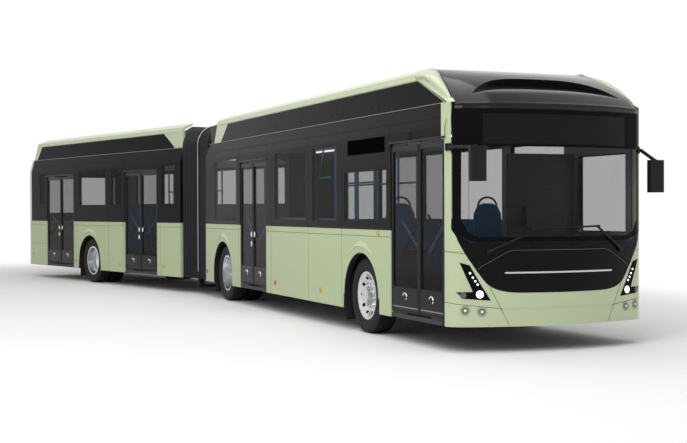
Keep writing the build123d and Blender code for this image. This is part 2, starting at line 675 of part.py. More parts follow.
def front_mask():
    """Black panel under the windscreen with its grille slots and the bar across them."""
    shell = nose_shell(0, NOSE_T, 600, 1500)
    face = shell & prism(across_nose(MASK_SIDE) + [(-x, z) for x, z in across_nose(SCREEN_CORNER)], "y", -50, NOSE_BACK_Y)
    for z in GRILLE_ROWS:
        face -= block((-GRILLE_HALF, GRILLE_HALF), (-50, NOSE_BACK_Y), (z, z + GRILLE_SLOT))
    bar = nose_shell(-12, 14, BAR_Z - 12, BAR_Z + 12) & block((-BAR_HALF, BAR_HALF), (-50, 300), (BAR_Z - 12, BAR_Z + 12))
    return [face + bar]


def front_bumper():
    """Painted lower nose: bumper and corner panels around the mask and the headlamps."""
    shell = nose_shell(0, NOSE_T, SKIRT_Z, PILLAR_LOW - 2)
    gap = 1.5
    edge = [(HALF + 125, PILLAR_LOW), (MASK_SIDE[1][0] + 14, PILLAR_LOW)] + [(x, z - gap) for x, z in MASK_SIDE[1:]]
    sky = across_nose(edge) + [(-HALF - 125, 1600), (HALF + 125, 1600)]
    return [shell - prism(sky, "y", -50, NOSE_BACK_Y + 5) - lamp_pocket(-1, SEAT_GAP) - lamp_pocket(1, SEAT_GAP)]


def windscreen():
    shell = nose_shell(4, 10, WINDSCREEN_LOW + SEAT_GAP, WINDSCREEN_TOP)
    half = [(SCREEN_SIDE_X - 3, WINDSCREEN_TOP)] + [(x - 3, z + SEAT_GAP) for x, z in SCREEN_CORNER]
    return shell & prism(across_nose(half), "y", -50, NOSE_BACK_Y)


def cap_side(x_low, x_high):
    """Upright limits of the cap: wide at the brow, narrow at the rails."""
    top = RAIL_TOP_Z + 20
    half = [(x_low, WINDSCREEN_TOP - 10), (x_low, CAP_BROW_Z), (x_high, RAIL_TOP_Z - 10), (x_high, top)]
    outline = half + [(-x, z) for x, z in reversed(half)]
    return prism(outline, "y", -10, FAIRING_FRONT_Y + 400)


def cap_profile(drop):
    """The cap's side view: upright brow, domed slope and flat top, set in by drop."""
    brow_z = CAP_BROW_Z - drop
    top_z = RAIL_TOP_Z - 15 - drop
    brow_y = CAP_BROW_Y - 60 + drop
    back = FAIRING_FRONT_Y + 300
    low = WINDSCREEN_TOP + SEAT_GAP - (1 if drop else 0)
    dome = Spline((0, brow_y, brow_z), (0, brow_y + 360, brow_z + 225), (0, FAIRING_FRONT_Y - 40, top_z),
                  tangents=((0, 1, 1.3), (0, 1, 0.05)))
    flat = Polyline((0, FAIRING_FRONT_Y - 40, top_z), (0, back, top_z), (0, back, low), (0, brow_y, low),
                    (0, brow_y, brow_z))
    face = make_face([*dome.edges(), *flat.edges()])
    return extrude(face, 2600, dir=(1, 0, 0), both=True)


def front_cap():
    """Domed roof cap over the windscreen with the air slot across its slope."""
    outer = cap_profile(0) & nose_block(0, 1500, 2600, 3300) & cap_side(CAP_EDGE_X, RAIL_TOP_X - 15)
    inner = cap_profile(CAP_T)
    skin = outer - inner
    y, z = CAP_BROW_Y + 330, CAP_BROW_Z + 255
    lens = [(-SLOT_HALF, y - 150), (-SLOT_HALF + 90, y + 60), (-SLOT_HALF / 2, y + 105), (SLOT_HALF / 2, y + 105),
            (SLOT_HALF - 90, y + 60), (SLOT_HALF, y - 150), (SLOT_HALF / 2, y - 40), (-SLOT_HALF / 2, y - 40)]
    slot = prism(lens, "z", z - 200, z + 200)
    floor_face = cap_profile(CAP_T - 12)
    return [skin - (slot - floor_face)]


def fairing(section):
    """Long side covers with the painted rail on top; both ends are cut on a slope."""
    start, end = SECTION_Y[section]
    if section == "front":
        start = FAIRING_FRONT_Y
    t = FAIRING_T
    low = ROOF_EDGE_Z + SEAT_GAP
    profile = [(FAIRING_X, low), (FAIRING_X, RAIL_EDGE_Z), (RAIL_X, RAIL_EDGE_Z), (RAIL_X - 15, RAIL_EDGE_Z + 75),
               (RAIL_TOP_X, RAIL_TOP_Z), (RAIL_TOP_X, RAIL_TOP_Z - t), (FAIRING_X - t, RAIL_EDGE_Z + 40),
               (FAIRING_X - t, low)]
    skin = prism(profile, "y", start, end)
    foot, head = FAIRING_ENDS[section]
    skin -= prism([(foot, low - 1), (head, RAIL_TOP_Z + 1), (end + 200, RAIL_TOP_Z + 1), (end + 200, low - 1)],
                  "x", 0, HALF + 25)
    if section == "front":
        skin += nose_ribbon()
        skin += prism([(COVER_FRONT_Y + 40, low), (start + 1, RAIL_EDGE_Z - 15), (start + 1, low)], "x",
                      FAIRING_X - t, FAIRING_X)
    return both_sides(skin)


def nose_ribbon():
    """Painted band that runs down from the rail's front end to the pillar."""
    y = FAIRING_FRONT_Y + 1
    rail = [(RAIL_TOP_X, y, RAIL_TOP_Z), (RAIL_X - 15, y, RAIL_EDGE_Z + 75), (RAIL_X, y, RAIL_EDGE_Z),
            (FAIRING_X - FAIRING_T, y, RAIL_EDGE_Z - 5), (RAIL_TOP_X, y, RAIL_TOP_Z - FAIRING_T)]
    low = ROOF_EDGE_Z + SEAT_GAP
    foot = [(CAP_EDGE_X + 4, 265, low), (CAP_EDGE_X + 38, 285, low), (CAP_EDGE_X + 62, 330, low),
            (CAP_EDGE_X + 20, 385, low), (CAP_EDGE_X + 4, 350, low)]
    faces = [make_face(Polyline(*points, close=True)) for points in (rail, foot)]
    return loft(faces, ruled=True)


def pillars():
    """Painted A-pillar bands that run down from the roof rails to the bumper's corners."""
    shell = nose_shell(0, NOSE_T, PILLAR_LOW, ROOF_EDGE_Z - 1)
    gap = 2
    edge = [(MASK_SIDE[1][0] + 14, PILLAR_LOW), (MASK_SIDE[0][0] + gap, MASK_SIDE[0][1]),
            (SCREEN_SIDE_X + gap, ROOF_EDGE_Z), (HALF + 25, ROOF_EDGE_Z), (HALF + 25, PILLAR_LOW)]
    return [shell & prism([(side * x, z) for x, z in edge], "y", 100, NOSE_BACK_Y) for side in (-1, 1)]


def headlamps():
    lens = nose_shell(2, 30, 500, 1000) & lamp_pocket(1, 0)
    return both_sides(lens)


def nose_y(x):
    """Where the nose's wide arc lies at a distance x from the middle."""
    arc_r = (NOSE_ARC_X ** 2 + NOSE_ARC_Y ** 2) / (2 * NOSE_ARC_Y)
    return arc_r - sqrt(arc_r ** 2 - x ** 2)


MIRROR_FOOT_Z = (2200, 2280)


def mirror_foot(side):
    """Foot plate that follows the pillar's curve."""
    span = sorted((side * (HALF - 60), side * (HALF + 25)))
    skin = nose_block(-12 - SEAT_GAP, NOSE_BACK_Y, *MIRROR_FOOT_Z)
    skin -= nose_block(-SEAT_GAP, NOSE_BACK_Y + 1, MIRROR_FOOT_Z[0] - 1, MIRROR_FOOT_Z[1] + 1)
    return skin & block(span, (240, 350), MIRROR_FOOT_Z)


def mirrors():
    """Mirror heads on arms that reach forward from both pillars."""
    made = []
    head_x = HALF - 105
    for side, head_y, low, high in ((-1, -200, 1860, 2230), (1, -90, 1745, 2110)):
        head = block(sorted((side * (head_x - 95), side * (head_x + 95))), (head_y - 55, head_y + 55), (low, high))
        head = fillet(head.edges().filter_by(Axis.Z), 40)
        root = (side * (HALF - 31), 285, 2240)
        arm = rod(root, (side * head_x, head_y, high - 10), 20)
        made.append(mirror_foot(side) + arm + head)
    return made


def wipers():
    """Wiper arms with their pivots in the mask and blades on the glass."""
    made = []
    for pivot_x, tip_x in ((515 - HALF, -150), (430, HALF - 235)):
        lift = 34
        pivot_y = nose_y(pivot_x)
        tip_y = nose_y(tip_x)
        arm = rod((pivot_x, pivot_y - lift, 1150), (tip_x, tip_y - lift, 1330), 9)
        stub = min(nose_y(pivot_x - 20), nose_y(pivot_x + 20)) - SEAT_GAP
        arm += rod((pivot_x, stub, 1150), (pivot_x, pivot_y - lift - 12, 1150), 18)
        made.append(arm)
    return made


# Tail

HATCH_HALF = 700
HATCH_Z = (520, 1240)
HATCH_LIFT = 80
HATCH_T = 30
HATCH_AXIS = (REAR_END - MOVING_GAP / 2, HATCH_Z[1] - MOVING_GAP / 2)
REAR_WINDOW = (900, 1500, 2350)


def rear_end():
    outline = [(HALF, SKIRT_Z), (HALF, WINDOW_TOP_Z), (SHOULDER_X, ROOF_EDGE_Z)]
    outline += [(-x, z) for x, z in reversed(outline)]
    wall = prism(outline, "y", REAR_END - TAIL_T, REAR_END)
    wall -= block((-HATCH_HALF, HATCH_HALF), (REAR_END - TAIL_T - 1, REAR_END + 1), HATCH_Z)
    half, low, high = REAR_WINDOW
    wall -= block((-half, half), (REAR_END - TAIL_T - 1, REAR_END + 1), (low, high))
    return [wall]


def rear_window():
    half, low, high = REAR_WINDOW
    return block((SEAT_GAP - half, half - SEAT_GAP), (REAR_END - 20, REAR_END - 12), (low + SEAT_GAP, high - SEAT_GAP))


def rear_hatch():
    gap = MOVING_GAP
    lid = block((gap - HATCH_HALF, HATCH_HALF - gap), (REAR_END - HATCH_T, REAR_END),
                (HATCH_Z[0] + gap, HATCH_Z[1] - gap + 1))
    y, z = HATCH_AXIS
    return [lid + rod((gap - HATCH_HALF, y, z), (HATCH_HALF - gap, y, z), gap / 2 - SEAT_GAP)]


def tail_lamps():
    lamp = block((HALF - 275, HALF - 125), (REAR_END + SEAT_GAP, REAR_END + 20), (900, 1400))
    return both_sides(lamp)


def drive_unit():
    y = AXLE_Y["rear"]
    motor = block((HALF - 825, HALF - 175), (MOTOR_BOX_Y[0] + 60, MOTOR_BOX_Y[0] + 1100), (FLOOR_TOP - FLOOR_T, MOTOR_BOX_TOP - BOX_T - SEAT_GAP))
    return [portal_axle("rear"), motor]


# Roof equipment

def roof_packs(section):
    """Battery packs and the cooling unit, plain blocks between the fairings."""
    low = ROOF_EDGE_Z + SEAT_GAP
    table = {"front": ((1700, 3500), (3700, 5500), (6000, 8000)), "rear": ((REAR_START + 760, REAR_START + 2560), (REAR_START + 3060, REAR_START + 5060))}
    return [block((-850, 850), span, (low, low + 330)) for span in table[section]]


# Write every node

for section in ("front", "rear"):
    save(f"{section}_floor", [floor(section)], section)
    save(f"{section}_side_kerb", [side_wall(section, -1)], section)
    save(f"{section}_side_road", [side_wall(section, 1)], section)
    save(f"{section}_roof", [roof(section)] + roof_packs(section), section)
    save(f"{section}_seats", seats(section), section)
    save(f"{section}_handrails", poles(section), section)
save("front_fairing", fairing("front") + pillars())
save("rear_fairing", fairing("rear"), "rear")
save("front_glazing", panes("front", -1) + panes("front", 1) + [windscreen()])
save("rear_glazing", panes("rear", -1) + panes("rear", 1) + [rear_window()], "rear")
save("front_cap", front_cap())
save("front_mask", front_mask())
save("front_bumper", front_bumper())
save("headlamps", headlamps())
save("driver_cab", driver_cab())
save("mirrors", mirrors())
save("wipers", wipers())
save("front_axles", [front_beam(), portal_axle("middle")])
save("bellows", bellows())
save("centre_frame", [centre_frame()])
save("rear_end", rear_end(), "rear")
save("rear_hatch", rear_hatch(), "rear")
save("tail_lamps", tail_lamps(), "rear")
save("drive_unit", drive_unit(), "rear")

for side, word in ((-1, "kerb"), (1, "road")):
    save(f"knuckle_{word}", [knuckle(side, AXLE_Y["front"])])
    save(f"front_tyre_{word}", [tyre(WHEEL_X, side, AXLE_Y["front"])])
    save(f"front_rim_{word}", [rim(WHEEL_X, WHEEL_X + 40, side, AXLE_Y["front"], WHEEL_FACE_X + 5)])
    for axle, section in (("middle", "front"), ("rear", "rear")):
        y = AXLE_Y[axle]
        inner_x = WHEEL_X - TWIN_PITCH
        save(f"{axle}_tyres_{word}", [tyre(WHEEL_X, side, y), tyre(inner_x, side, y)], section)
        outer_rim = rim(WHEEL_X, TWIN_MID_X + 25, side, y, TWIN_MID_X + 90)
        inner_rim = rim(inner_x, TWIN_MID_X - 40, side, y, TWIN_MID_X - 25)
        save(f"{axle}_rims_{word}", [outer_rim, inner_rim], section)

for name, section, front, meeting, rear in DOORS:
    for which in ("front", "rear"):
        jamb, free, way = door_leaf_size(front, meeting, rear, which)
        save(f"{name}_{which}_leaf", door_leaf(jamb, free, way), section)
        save(f"{name}_{which}_arms", door_arms(jamb, free, way), section)
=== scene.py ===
"""Looks of an articulated low-floor city bus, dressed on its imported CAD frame."""
import json
from math import ceil, cos, floor, hypot, pi, radians, sin

import bmesh
import bpy
from mathutils import Matrix, Vector


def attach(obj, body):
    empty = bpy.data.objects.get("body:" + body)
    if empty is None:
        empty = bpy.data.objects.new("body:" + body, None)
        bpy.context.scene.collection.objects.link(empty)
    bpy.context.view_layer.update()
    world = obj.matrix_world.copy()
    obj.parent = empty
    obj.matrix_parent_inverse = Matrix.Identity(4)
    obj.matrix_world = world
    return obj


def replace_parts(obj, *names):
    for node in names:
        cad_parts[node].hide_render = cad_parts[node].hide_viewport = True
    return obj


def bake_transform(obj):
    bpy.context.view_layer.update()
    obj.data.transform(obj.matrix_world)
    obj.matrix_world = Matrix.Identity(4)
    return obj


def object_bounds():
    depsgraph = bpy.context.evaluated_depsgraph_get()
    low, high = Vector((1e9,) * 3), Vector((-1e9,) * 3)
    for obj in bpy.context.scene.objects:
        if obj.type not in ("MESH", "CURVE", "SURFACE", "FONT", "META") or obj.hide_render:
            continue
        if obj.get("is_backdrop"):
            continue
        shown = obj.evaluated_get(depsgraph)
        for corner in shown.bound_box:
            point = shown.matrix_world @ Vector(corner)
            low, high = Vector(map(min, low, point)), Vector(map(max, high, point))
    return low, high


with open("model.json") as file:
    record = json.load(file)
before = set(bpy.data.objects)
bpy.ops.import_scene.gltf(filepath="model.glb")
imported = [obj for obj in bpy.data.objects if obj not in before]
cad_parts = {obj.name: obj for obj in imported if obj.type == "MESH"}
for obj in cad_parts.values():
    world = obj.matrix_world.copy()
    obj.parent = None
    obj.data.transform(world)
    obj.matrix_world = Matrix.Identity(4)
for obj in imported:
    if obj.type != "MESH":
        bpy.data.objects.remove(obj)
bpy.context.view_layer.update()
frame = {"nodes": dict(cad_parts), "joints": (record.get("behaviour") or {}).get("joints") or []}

# Straight coordinates of each section, in metres: x across (door side is -x), y rearwards from the nose,
# z up.
PIVOT_Y = 10.47
REST_BEND = radians(13.755)
joint_place = next(j["pos_m"] for j in frame["joints"] if j["name"] == "articulation")
FRONT = Matrix.Translation((joint_place[0], joint_place[1] - PIVOT_Y, 0))
REAR = (FRONT @ Matrix.Translation((0, PIVOT_Y, 0)) @ Matrix.Rotation(REST_BEND, 4, "Z")
        @ Matrix.Translation((0, -PIVOT_Y, 0)))
PLACE = {"front": FRONT, "rear": REAR}
BODY = {"front": "front_section", "rear": "rear_section"}

# Driving sizes that the dressing shares with the frame
HALF = 1.275
SKIRT_Z = 0.287
BELT_Z = 1.313
WINDOW_TOP_Z = 2.46
CEILING_Z = 2.600
ROOF_EDGE_Z = 2.73
SHOULDER_IN = 0.07
FAIRING_X = 1.2
RAIL_EDGE_Z = 3.045
FRONT_END = 9.7
REAR_START = 11.24
REAR_END = 18.64
GAP_HALF = 0.77
AXLE_Z = 0.475
WHEEL_X = 1.0745
TWIN_PITCH = 0.31
TYRE_W = 0.275
AXLE_Y = {"front": 2.665, "middle": 8.67, "rear": 15.32}
ARCH_HALF = {"front": 0.575, "middle": 0.545, "rear": 0.56}
ARCH_R = 0.545
SECTION_AXLES = {"front": ("front", "middle"), "rear": ("rear",)}
DOORS = (
    ("door_1", "front", 0.374, 1.003, 1.753),
    ("door_2", "front", 6.349, 7.014, 7.676),
    ("door_3", "rear", 12.19, 12.89, 13.6),
    ("door_4", "rear", 16.13, 16.86, 17.63),
)
DOOR_TOP = 2.335
LEAF_OUT = HALF - 0.012
LEAF_T = 0.04
WINDOWS = {
    ("front", -1): ((1.835, 3.23, 1.377, 2.08), (3.414, 4.39, 1.373, 2.452),
                    (4.6, 5.97, 1.368, 2.452), (7.85, 9.19, 1.338, 2.44)),
    ("front", 1): ((0.52, 1.56, 1.25, 2.25), (1.835, 3.23, 1.377, 2.452), (3.414, 5.97, 1.37, 2.452),
                   (6.16, 7.676, 1.37, 2.452), (7.85, 9.19, 1.338, 2.44)),
    ("rear", -1): ((11.42, 12.0, 1.64, 2.452), (13.73, 14.25, 1.63, 2.44),
                   (14.48, 15.86, 1.633, 2.44), (17.73, 18.09, 1.668, 2.44)),
    ("rear", 1): ((11.42, 12.0, 1.64, 2.452), (12.19, 14.25, 1.64, 2.452),
                  (14.48, 15.86, 1.64, 2.44), (16.13, 18.09, 1.64, 2.44)),
}
PANE_OUT = HALF - 0.001

# Plan curve of the nose: one wide arc, then a tighter one into each side; s runs along it from the middle
NOSE_R = 3.0225
CORNER_AT = (1.0212, 0.4483)
CORNER_R = 0.2545
CORNER_FROM = radians(-74.54)
CORNER_TO = radians(-4.1)
S_ARC = 1.1141
S_SIDE = S_ARC + CORNER_R * (CORNER_TO - CORNER_FROM)


# Materials

def placed(name, data):
    obj = bpy.data.objects.new(name, data)
    bpy.context.scene.collection.objects.link(obj)
    return obj


def add_node(tree, kind, operation=None):
    node = tree.nodes.new(kind)
    if operation:
        node.operation = operation
    return node


def linear(value):
    """An sRGB value from 0 to 255 as linear light."""
    v = value / 255
    return v / 12.92 if v <= 0.04045 else ((v + 0.055) / 1.055) ** 2.4


def finish_of(name, rgb, rough, metal=0.0, level=0.5, coat=0.0, alpha=1.0, glow=0.0):
    material = bpy.data.materials.new(name)
    material.use_nodes = True
    shader = material.node_tree.nodes["Principled BSDF"]
    colour = (*[linear(c) for c in rgb], 1)
    shader.inputs["Base Color"].default_value = colour
    shader.inputs["Roughness"].default_value = rough
    shader.inputs["Metallic"].default_value = metal
    shader.inputs["Specular IOR Level"].default_value = level
    shader.inputs["Coat Weight"].default_value = coat
    shader.inputs["Coat Roughness"].default_value = 0.04
    shader.inputs["Alpha"].default_value = alpha
    if glow:
        shader.inputs["Emission Color"].default_value = colour
        shader.inputs["Emission Strength"].default_value = glow
    return material


GREEN_RGB = (186, 198, 160)
BLACK_RGB = (15, 15, 17)
GREEN = finish_of("green_paint", GREEN_RGB, 0.28, coat=0.3)
BLACK = finish_of("black_gloss_paint", BLACK_RGB, 0.12, level=0.03)
CAP_BLACK = finish_of("cap_gloss_black", (14, 14, 16), 0.09, level=0.22)
MASK_BLACK = finish_of("deep_gloss_black", (9, 9, 11), 0.06, level=0.1)
SATIN = finish_of("satin_black", (16, 16, 18), 0.4, level=0.2)
SEAM = finish_of("seam_shadow", (52, 58, 46), 0.8, level=0.1)
# Near black for seams, latches, the header catch and the grille outline, and as painted shade in the open
# hand holes of the front rims
SEAM_BLACK_AND_HOLE_SHADE = finish_of("seam_black_and_hole_shade", (4, 4, 5), 0.7, level=0.1)
GLASS = finish_of("side_glass", (14, 16, 18), 0.03, level=0.08, alpha=0.28)
SCREEN_GLASS = finish_of("screen_glass", (20, 22, 23), 0.02, level=0.3, alpha=0.16)
DOOR_GLASS = finish_of("door_glass", (14, 16, 18), 0.03, level=0.08, alpha=0.42)
BAR_METAL = finish_of("bar_metal", (196, 198, 201), 0.25, metal=1.0)
CHROME = finish_of("bright_metal", (225, 227, 230), 0.16, metal=1.0)
DULL = finish_of("dull_metal", (150, 152, 155), 0.3, metal=1.0)
ALLOY = finish_of("polished_alloy", (206, 208, 210), 0.2, metal=1.0)
STEEL = finish_of("axle_steel", (46, 47, 50), 0.55, metal=0.4)
FLOOR = finish_of("floor_covering", (46, 47, 50), 0.7)
LINING = finish_of("wall_lining", (118, 122, 126), 0.6)
CAB = finish_of("cab_plastic", (58, 59, 62), 0.55)
SEAT = finish_of("seat_blue", (44, 104, 164), 0.6)
SEAT_GRIP = finish_of("seat_grip", (30, 40, 56), 0.4)
RAIL = finish_of("rail_blue", (64, 156, 204), 0.35)
RUBBER = finish_of("rubber", (22, 22, 23), 0.75, level=0.3)
FABRIC = finish_of("bellows_fabric", (13, 16, 17), 0.42, level=0.2)
HOOP = finish_of("hoop_metal", (22, 25, 26), 0.5, level=0.15)
AMBER = finish_of("amber_lens", (214, 156, 38), 0.25)
RED = finish_of("red_lens", (196, 62, 36), 0.25)
LED = finish_of("led_white", (255, 255, 255), 0.2, glow=1.6)
LENS = finish_of("lamp_lens", (96, 100, 104), 0.08, metal=0.8)
FOG_BOWL = finish_of("fog_bowl", (146, 156, 124), 0.35)
FOG_DARK = finish_of("fog_glass", (96, 100, 92), 0.15, metal=0.3)
WHITE = finish_of("white_plastic", (232, 234, 234), 0.35)
DISPLAY_BLACK = finish_of("display_black", (7, 7, 8), 0.06, level=0.0)
DISPLAY_GREY = finish_of("display_grey", (20, 20, 22), 0.12, level=0.1)
# Lighter grey for the crests of the bellows pleats: a painted highlight where the ridges catch the light
RIDGE_HIGHLIGHT = finish_of("fabric_ridge_highlight", (40, 45, 47), 0.45, level=0.2)
HOOP_BRIGHT = finish_of("hoop_bright", (176, 182, 184), 0.35, metal=0.6)
STRIP = finish_of("light_strip", (255, 252, 244), 0.4, glow=1.6)
# Grey for a painted highlight along the top edge of the grille arch
EDGE_HIGHLIGHT_GREY = finish_of("edge_highlight_grey", (96, 98, 100), 0.3)

# Socket places on the colour form of a Mix node
MIX_SHARE = 0
MIX_FIRST = 6
MIX_SECOND = 7
MIX_COLOUR = 2


def banded(name, below, above, height):
    """One paint below a height and another above it."""
    material = finish_of(name, GREEN_RGB, 0.26, level=0.035)
    tree = material.node_tree
    link = tree.links.new
    shader = tree.nodes["Principled BSDF"]
    place = add_node(tree, "ShaderNodeTexCoord")
    split = add_node(tree, "ShaderNodeSeparateXYZ")
    test = add_node(tree, "ShaderNodeMath", "GREATER_THAN")
    test.inputs[1].default_value = height
    mix = add_node(tree, "ShaderNodeMix")
    mix.data_type = "RGBA"
    mix.inputs[MIX_FIRST].default_value = (*[linear(c) for c in below], 1)
    mix.inputs[MIX_SECOND].default_value = (*[linear(c) for c in above], 1)
    link(place.outputs["Object"], split.inputs[0])
    link(split.outputs["Z"], test.inputs[0])
    link(test.outputs[0], mix.inputs[MIX_SHARE])
    link(mix.outputs[MIX_COLOUR], shader.inputs["Base Color"])
    return material


CEILING_RGB = (176, 178, 180)
ROOF_RGB = (92, 96, 90)
ROOF_SPLIT_Z = 2.66
WALL_PAINT = banded("wall_paint", GREEN_RGB, BLACK_RGB, BELT_Z)
ROOF_PAINT = banded("roof_and_ceiling", CEILING_RGB, ROOF_RGB, ROOF_SPLIT_Z)


def paint(node, *materials):
    mesh = frame["nodes"][node].data
    mesh.materials.clear()
    for material in materials:
        mesh.materials.append(material)
    return mesh


def paint_faces(node, section, first, second, test):
    """Two finishes on one CAD node, picked by where a face's middle lies in straight coordinates."""
    mesh = paint(node, first, second)
    back = PLACE[section].inverted()
    for face in mesh.polygons:
        face.material_index = 1 if test([back @ mesh.vertices[i].co for i in face.vertices]) else 0


# Shapes: each gathers vertices and faces in a section's straight coordinates, then becomes one riding piece

SIDES = ((-1, "kerb"), (1, "road"))
WALLS = [(section, side, word) for section in ("front", "rear") for side, word in SIDES]


def circle(centre, radius, sides, tall=None, turn=0.0):
    """Points of a circle, or of an ellipse where tall is the second radius."""
    tall = radius if tall is None else tall
    angles = [2 * pi * k / sides + turn for k in range(sides)]
    return [(centre[0] + radius * cos(a), centre[1] + tall * sin(a)) for a in angles]


def span_x(side, inner, outer):
    """Two distances from the middle plane as an ordered span of x on one side."""
    return sorted((side * inner, side * outer))


class Shape:
    def __init__(self):
        self.verts = []
        self.faces = []

    def add(self, verts, faces):
        base = len(self.verts)
        self.verts += [Vector(v) for v in verts]
        self.faces += [[base + i for i in face] for face in faces]
        return self

    def box(self, x, y, z):
        corners = [(x[i], y[j], z[k]) for i in (0, 1) for j in (0, 1) for k in (0, 1)]
        faces = [(0, 1, 3, 2), (4, 6, 7, 5), (0, 4, 5, 1), (2, 3, 7, 6), (0, 2, 6, 4), (1, 5, 7, 3)]
        return self.add(corners, faces)

    def prism(self, outline, axis, low, high):
        """A flat outline pushed along x, y or z; its points are the other two coordinates in order."""
        spots = {
            "x": lambda a, b, c: (c, a, b),
            "y": lambda a, b, c: (a, c, b),
            "z": lambda a, b, c: (a, b, c),
        }
        n = len(outline)
        verts = [spots[axis](a, b, c) for c in (low, high) for a, b in outline]
        faces = [list(range(n))[::-1], list(range(n, 2 * n))]
        faces += [(i, (i + 1) % n, n + (i + 1) % n, n + i) for i in range(n)]
        return self.add(verts, faces)

    def frame(self, x, outer, inner):
        """A flat rectangular ring on a side wall; outer and inner are (y0, y1, z0, z1)."""
        rings = []
        for y0, y1, z0, z1 in (outer, inner):
            rings.append([(y0, z0), (y1, z0), (y1, z1), (y0, z1)])
        verts = [(c, y, z) for c in x for ring in rings for y, z in ring]
        faces = []
        for i in range(4):
            j = (i + 1) % 4
            faces += [(i, j, 4 + j, 4 + i), (8 + i, 12 + i, 12 + j, 8 + j),
                      (i, 8 + i, 8 + j, j), (4 + i, 4 + j, 12 + j, 12 + i)]
        return self.add(verts, faces)

    def tube(self, points, radius, sides=10):
        points = [Vector(p) for p in points]
        rings = []
        for i, p in enumerate(points):
            ahead = points[min(i + 1, len(points) - 1)] - points[max(i - 1, 0)]
            turn = ahead.to_track_quat("Z", "Y")
            rings.append([p + turn @ Vector((a, b, 0)) for a, b in circle((0, 0), radius, sides)])
        faces = []
        for i in range(len(points) - 1):
            for k in range(sides):
                a, b = i * sides + k, i * sides + (k + 1) % sides
                faces.append((a, b, b + sides, a + sides))
        last = (len(points) - 1) * sides
        faces += [list(range(sides))[::-1], list(range(last, last + sides))]
        return self.add([v for ring in rings for v in ring], faces)

    def lathe(self, profile, centre, steps):
        """Turn (x, radius) pairs about an axle along x through centre (y, z)."""
        n = len(profile)
        verts = []
        for k in range(steps):
            a = 2 * pi * k / steps
            verts += [(x, centre[0] + r * cos(a), centre[1] + r * sin(a)) for x, r in profile]
        faces = []
        for k in range(steps):
            m = (k + 1) % steps
            for i in range(n):
                j = (i + 1) % n
                faces.append((k * n + i, k * n + j, m * n + j, m * n + i))
        return self.add(verts, faces)

    def disc(self, x, y, z, radius, sides=24):
        """A short round button on a side wall, x is its inner and outer end."""
        return self.prism(circle((y, z), radius, sides), "x", *x)

    def nose(self, outline, low, high, step=0.03):
        """An outline in (s, z) wrapped on the nose, from low to high metres proud of it."""
        bm = bmesh.new()
        bm.faces.new([bm.verts.new((s, z, 0)) for s, z in outline])
        first = ceil(min(s for s, z in outline) / step)
        last = floor(max(s for s, z in outline) / step)
        for i in range(first, last + 1):
            everything = bm.verts[:] + bm.edges[:] + bm.faces[:]
            bmesh.ops.bisect_plane(bm, geom=everything, plane_co=(i * step, 0, 0), plane_no=(1, 0, 0))
        pushed = bmesh.ops.extrude_face_region(bm, geom=bm.faces[:])["geom"]
        for item in pushed:
            if isinstance(item, bmesh.types.BMVert):
                item.co.z = 1
        bmesh.ops.recalc_face_normals(bm, faces=bm.faces[:])
        bm.verts.index_update()
        verts = [nose_at(v.co.x, v.co.y, low + v.co.z * (high - low)) for v in bm.verts]
        faces = [[v.index for v in f.verts] for f in bm.faces]
        bm.free()
        return self.add(verts, faces)

    def make(self, name, material, slot, section="front", body=None, smooth=0.0, bevel=0.0):
        """One piece that rides a body, the section itself unless another is named."""
        body = body or BODY[section]
        mesh = bpy.data.meshes.new(name)
        mesh.from_pydata([PLACE[section] @ v for v in self.verts], [], self.faces)
        bm = bmesh.new()
        bm.from_mesh(mesh)
        bmesh.ops.recalc_face_normals(bm, faces=bm.faces[:])
        bm.to_mesh(mesh)
        bm.free()
        mesh.materials.append(material)
        obj = placed(name, mesh)
        if smooth:
            mesh.polygons.foreach_set("use_smooth", [True] * len(mesh.polygons))
            mesh.set_sharp_from_angle(angle=radians(smooth))
        if bevel:
            rounding = obj.modifiers.new("edges", "BEVEL")
            rounding.width = bevel
            rounding.segments = 2
            rounding.limit_method = "ANGLE"
        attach(obj, body)
        return obj


def nose_at(s, z, proud=0.0):
    """The point on the nose at a distance s along its plan curve, z up, and proud of the skin."""
    side = 1 if s >= 0 else -1
    reach = abs(s)
    if reach <= S_ARC:
        turn = reach / NOSE_R
        x = NOSE_R * sin(turn)
        y = NOSE_R - NOSE_R * cos(turn)
        out = (sin(turn), -cos(turn))
    elif reach <= S_SIDE:
        turn = CORNER_FROM + (reach - S_ARC) / CORNER_R
        x = CORNER_AT[0] + CORNER_R * cos(turn)
        y = CORNER_AT[1] + CORNER_R * sin(turn)
        out = (cos(turn), sin(turn))
    else:
        x = HALF
        y = 0.43 + reach - S_SIDE
        out = (1, 0)
    return Vector((side * (x + out[0] * proud), y + out[1] * proud, z))


def wall_x(z):
    """Outer face of a side wall at a height; it leans in above the windows."""
    lean = max(0, z - WINDOW_TOP_Z) / (ROOF_EDGE_Z - WINDOW_TOP_Z)
    return HALF - SHOULDER_IN * min(lean, 1)


SEAM_W = 0.005
SEAM_PROUD = 0.0006
SEAM_SUNK = 0.003


def wall_strip(shape, side, y, z, proud=SEAM_PROUD):
    """A thin strip on a side wall between two heights."""
    low, high = [wall_x(v) for v in z]
    outline = [(side * (low - SEAM_SUNK), z[0]), (side * (low + proud), z[0]), (side * (high + proud), z[1]),
               (side * (high - SEAM_SUNK), z[1])]
    return shape.prism(outline, "y", *y)


def leaning_strip(shape, side, y, low, high, proud=SEAM_PROUD):
    """A strip that follows the wall past the height where it starts to lean in."""
    wall_strip(shape, side, y, (low, WINDOW_TOP_Z), proud)
    return wall_strip(shape, side, y, (WINDOW_TOP_Z, high), proud)


INSIDE_NOSE = 0.012
CORNER_STARTS_X = 1.05


def inside_nose(p):
    """True where a point lies well behind the outer skin of the nose."""
    if abs(p.x) > CORNER_STARTS_X:
        return hypot(abs(p.x) - CORNER_AT[0], p.y - CORNER_AT[1]) < CORNER_R - INSIDE_NOSE
    return hypot(p.x, p.y - NOSE_R) < NOSE_R - INSIDE_NOSE


# Finishes of the CAD nodes

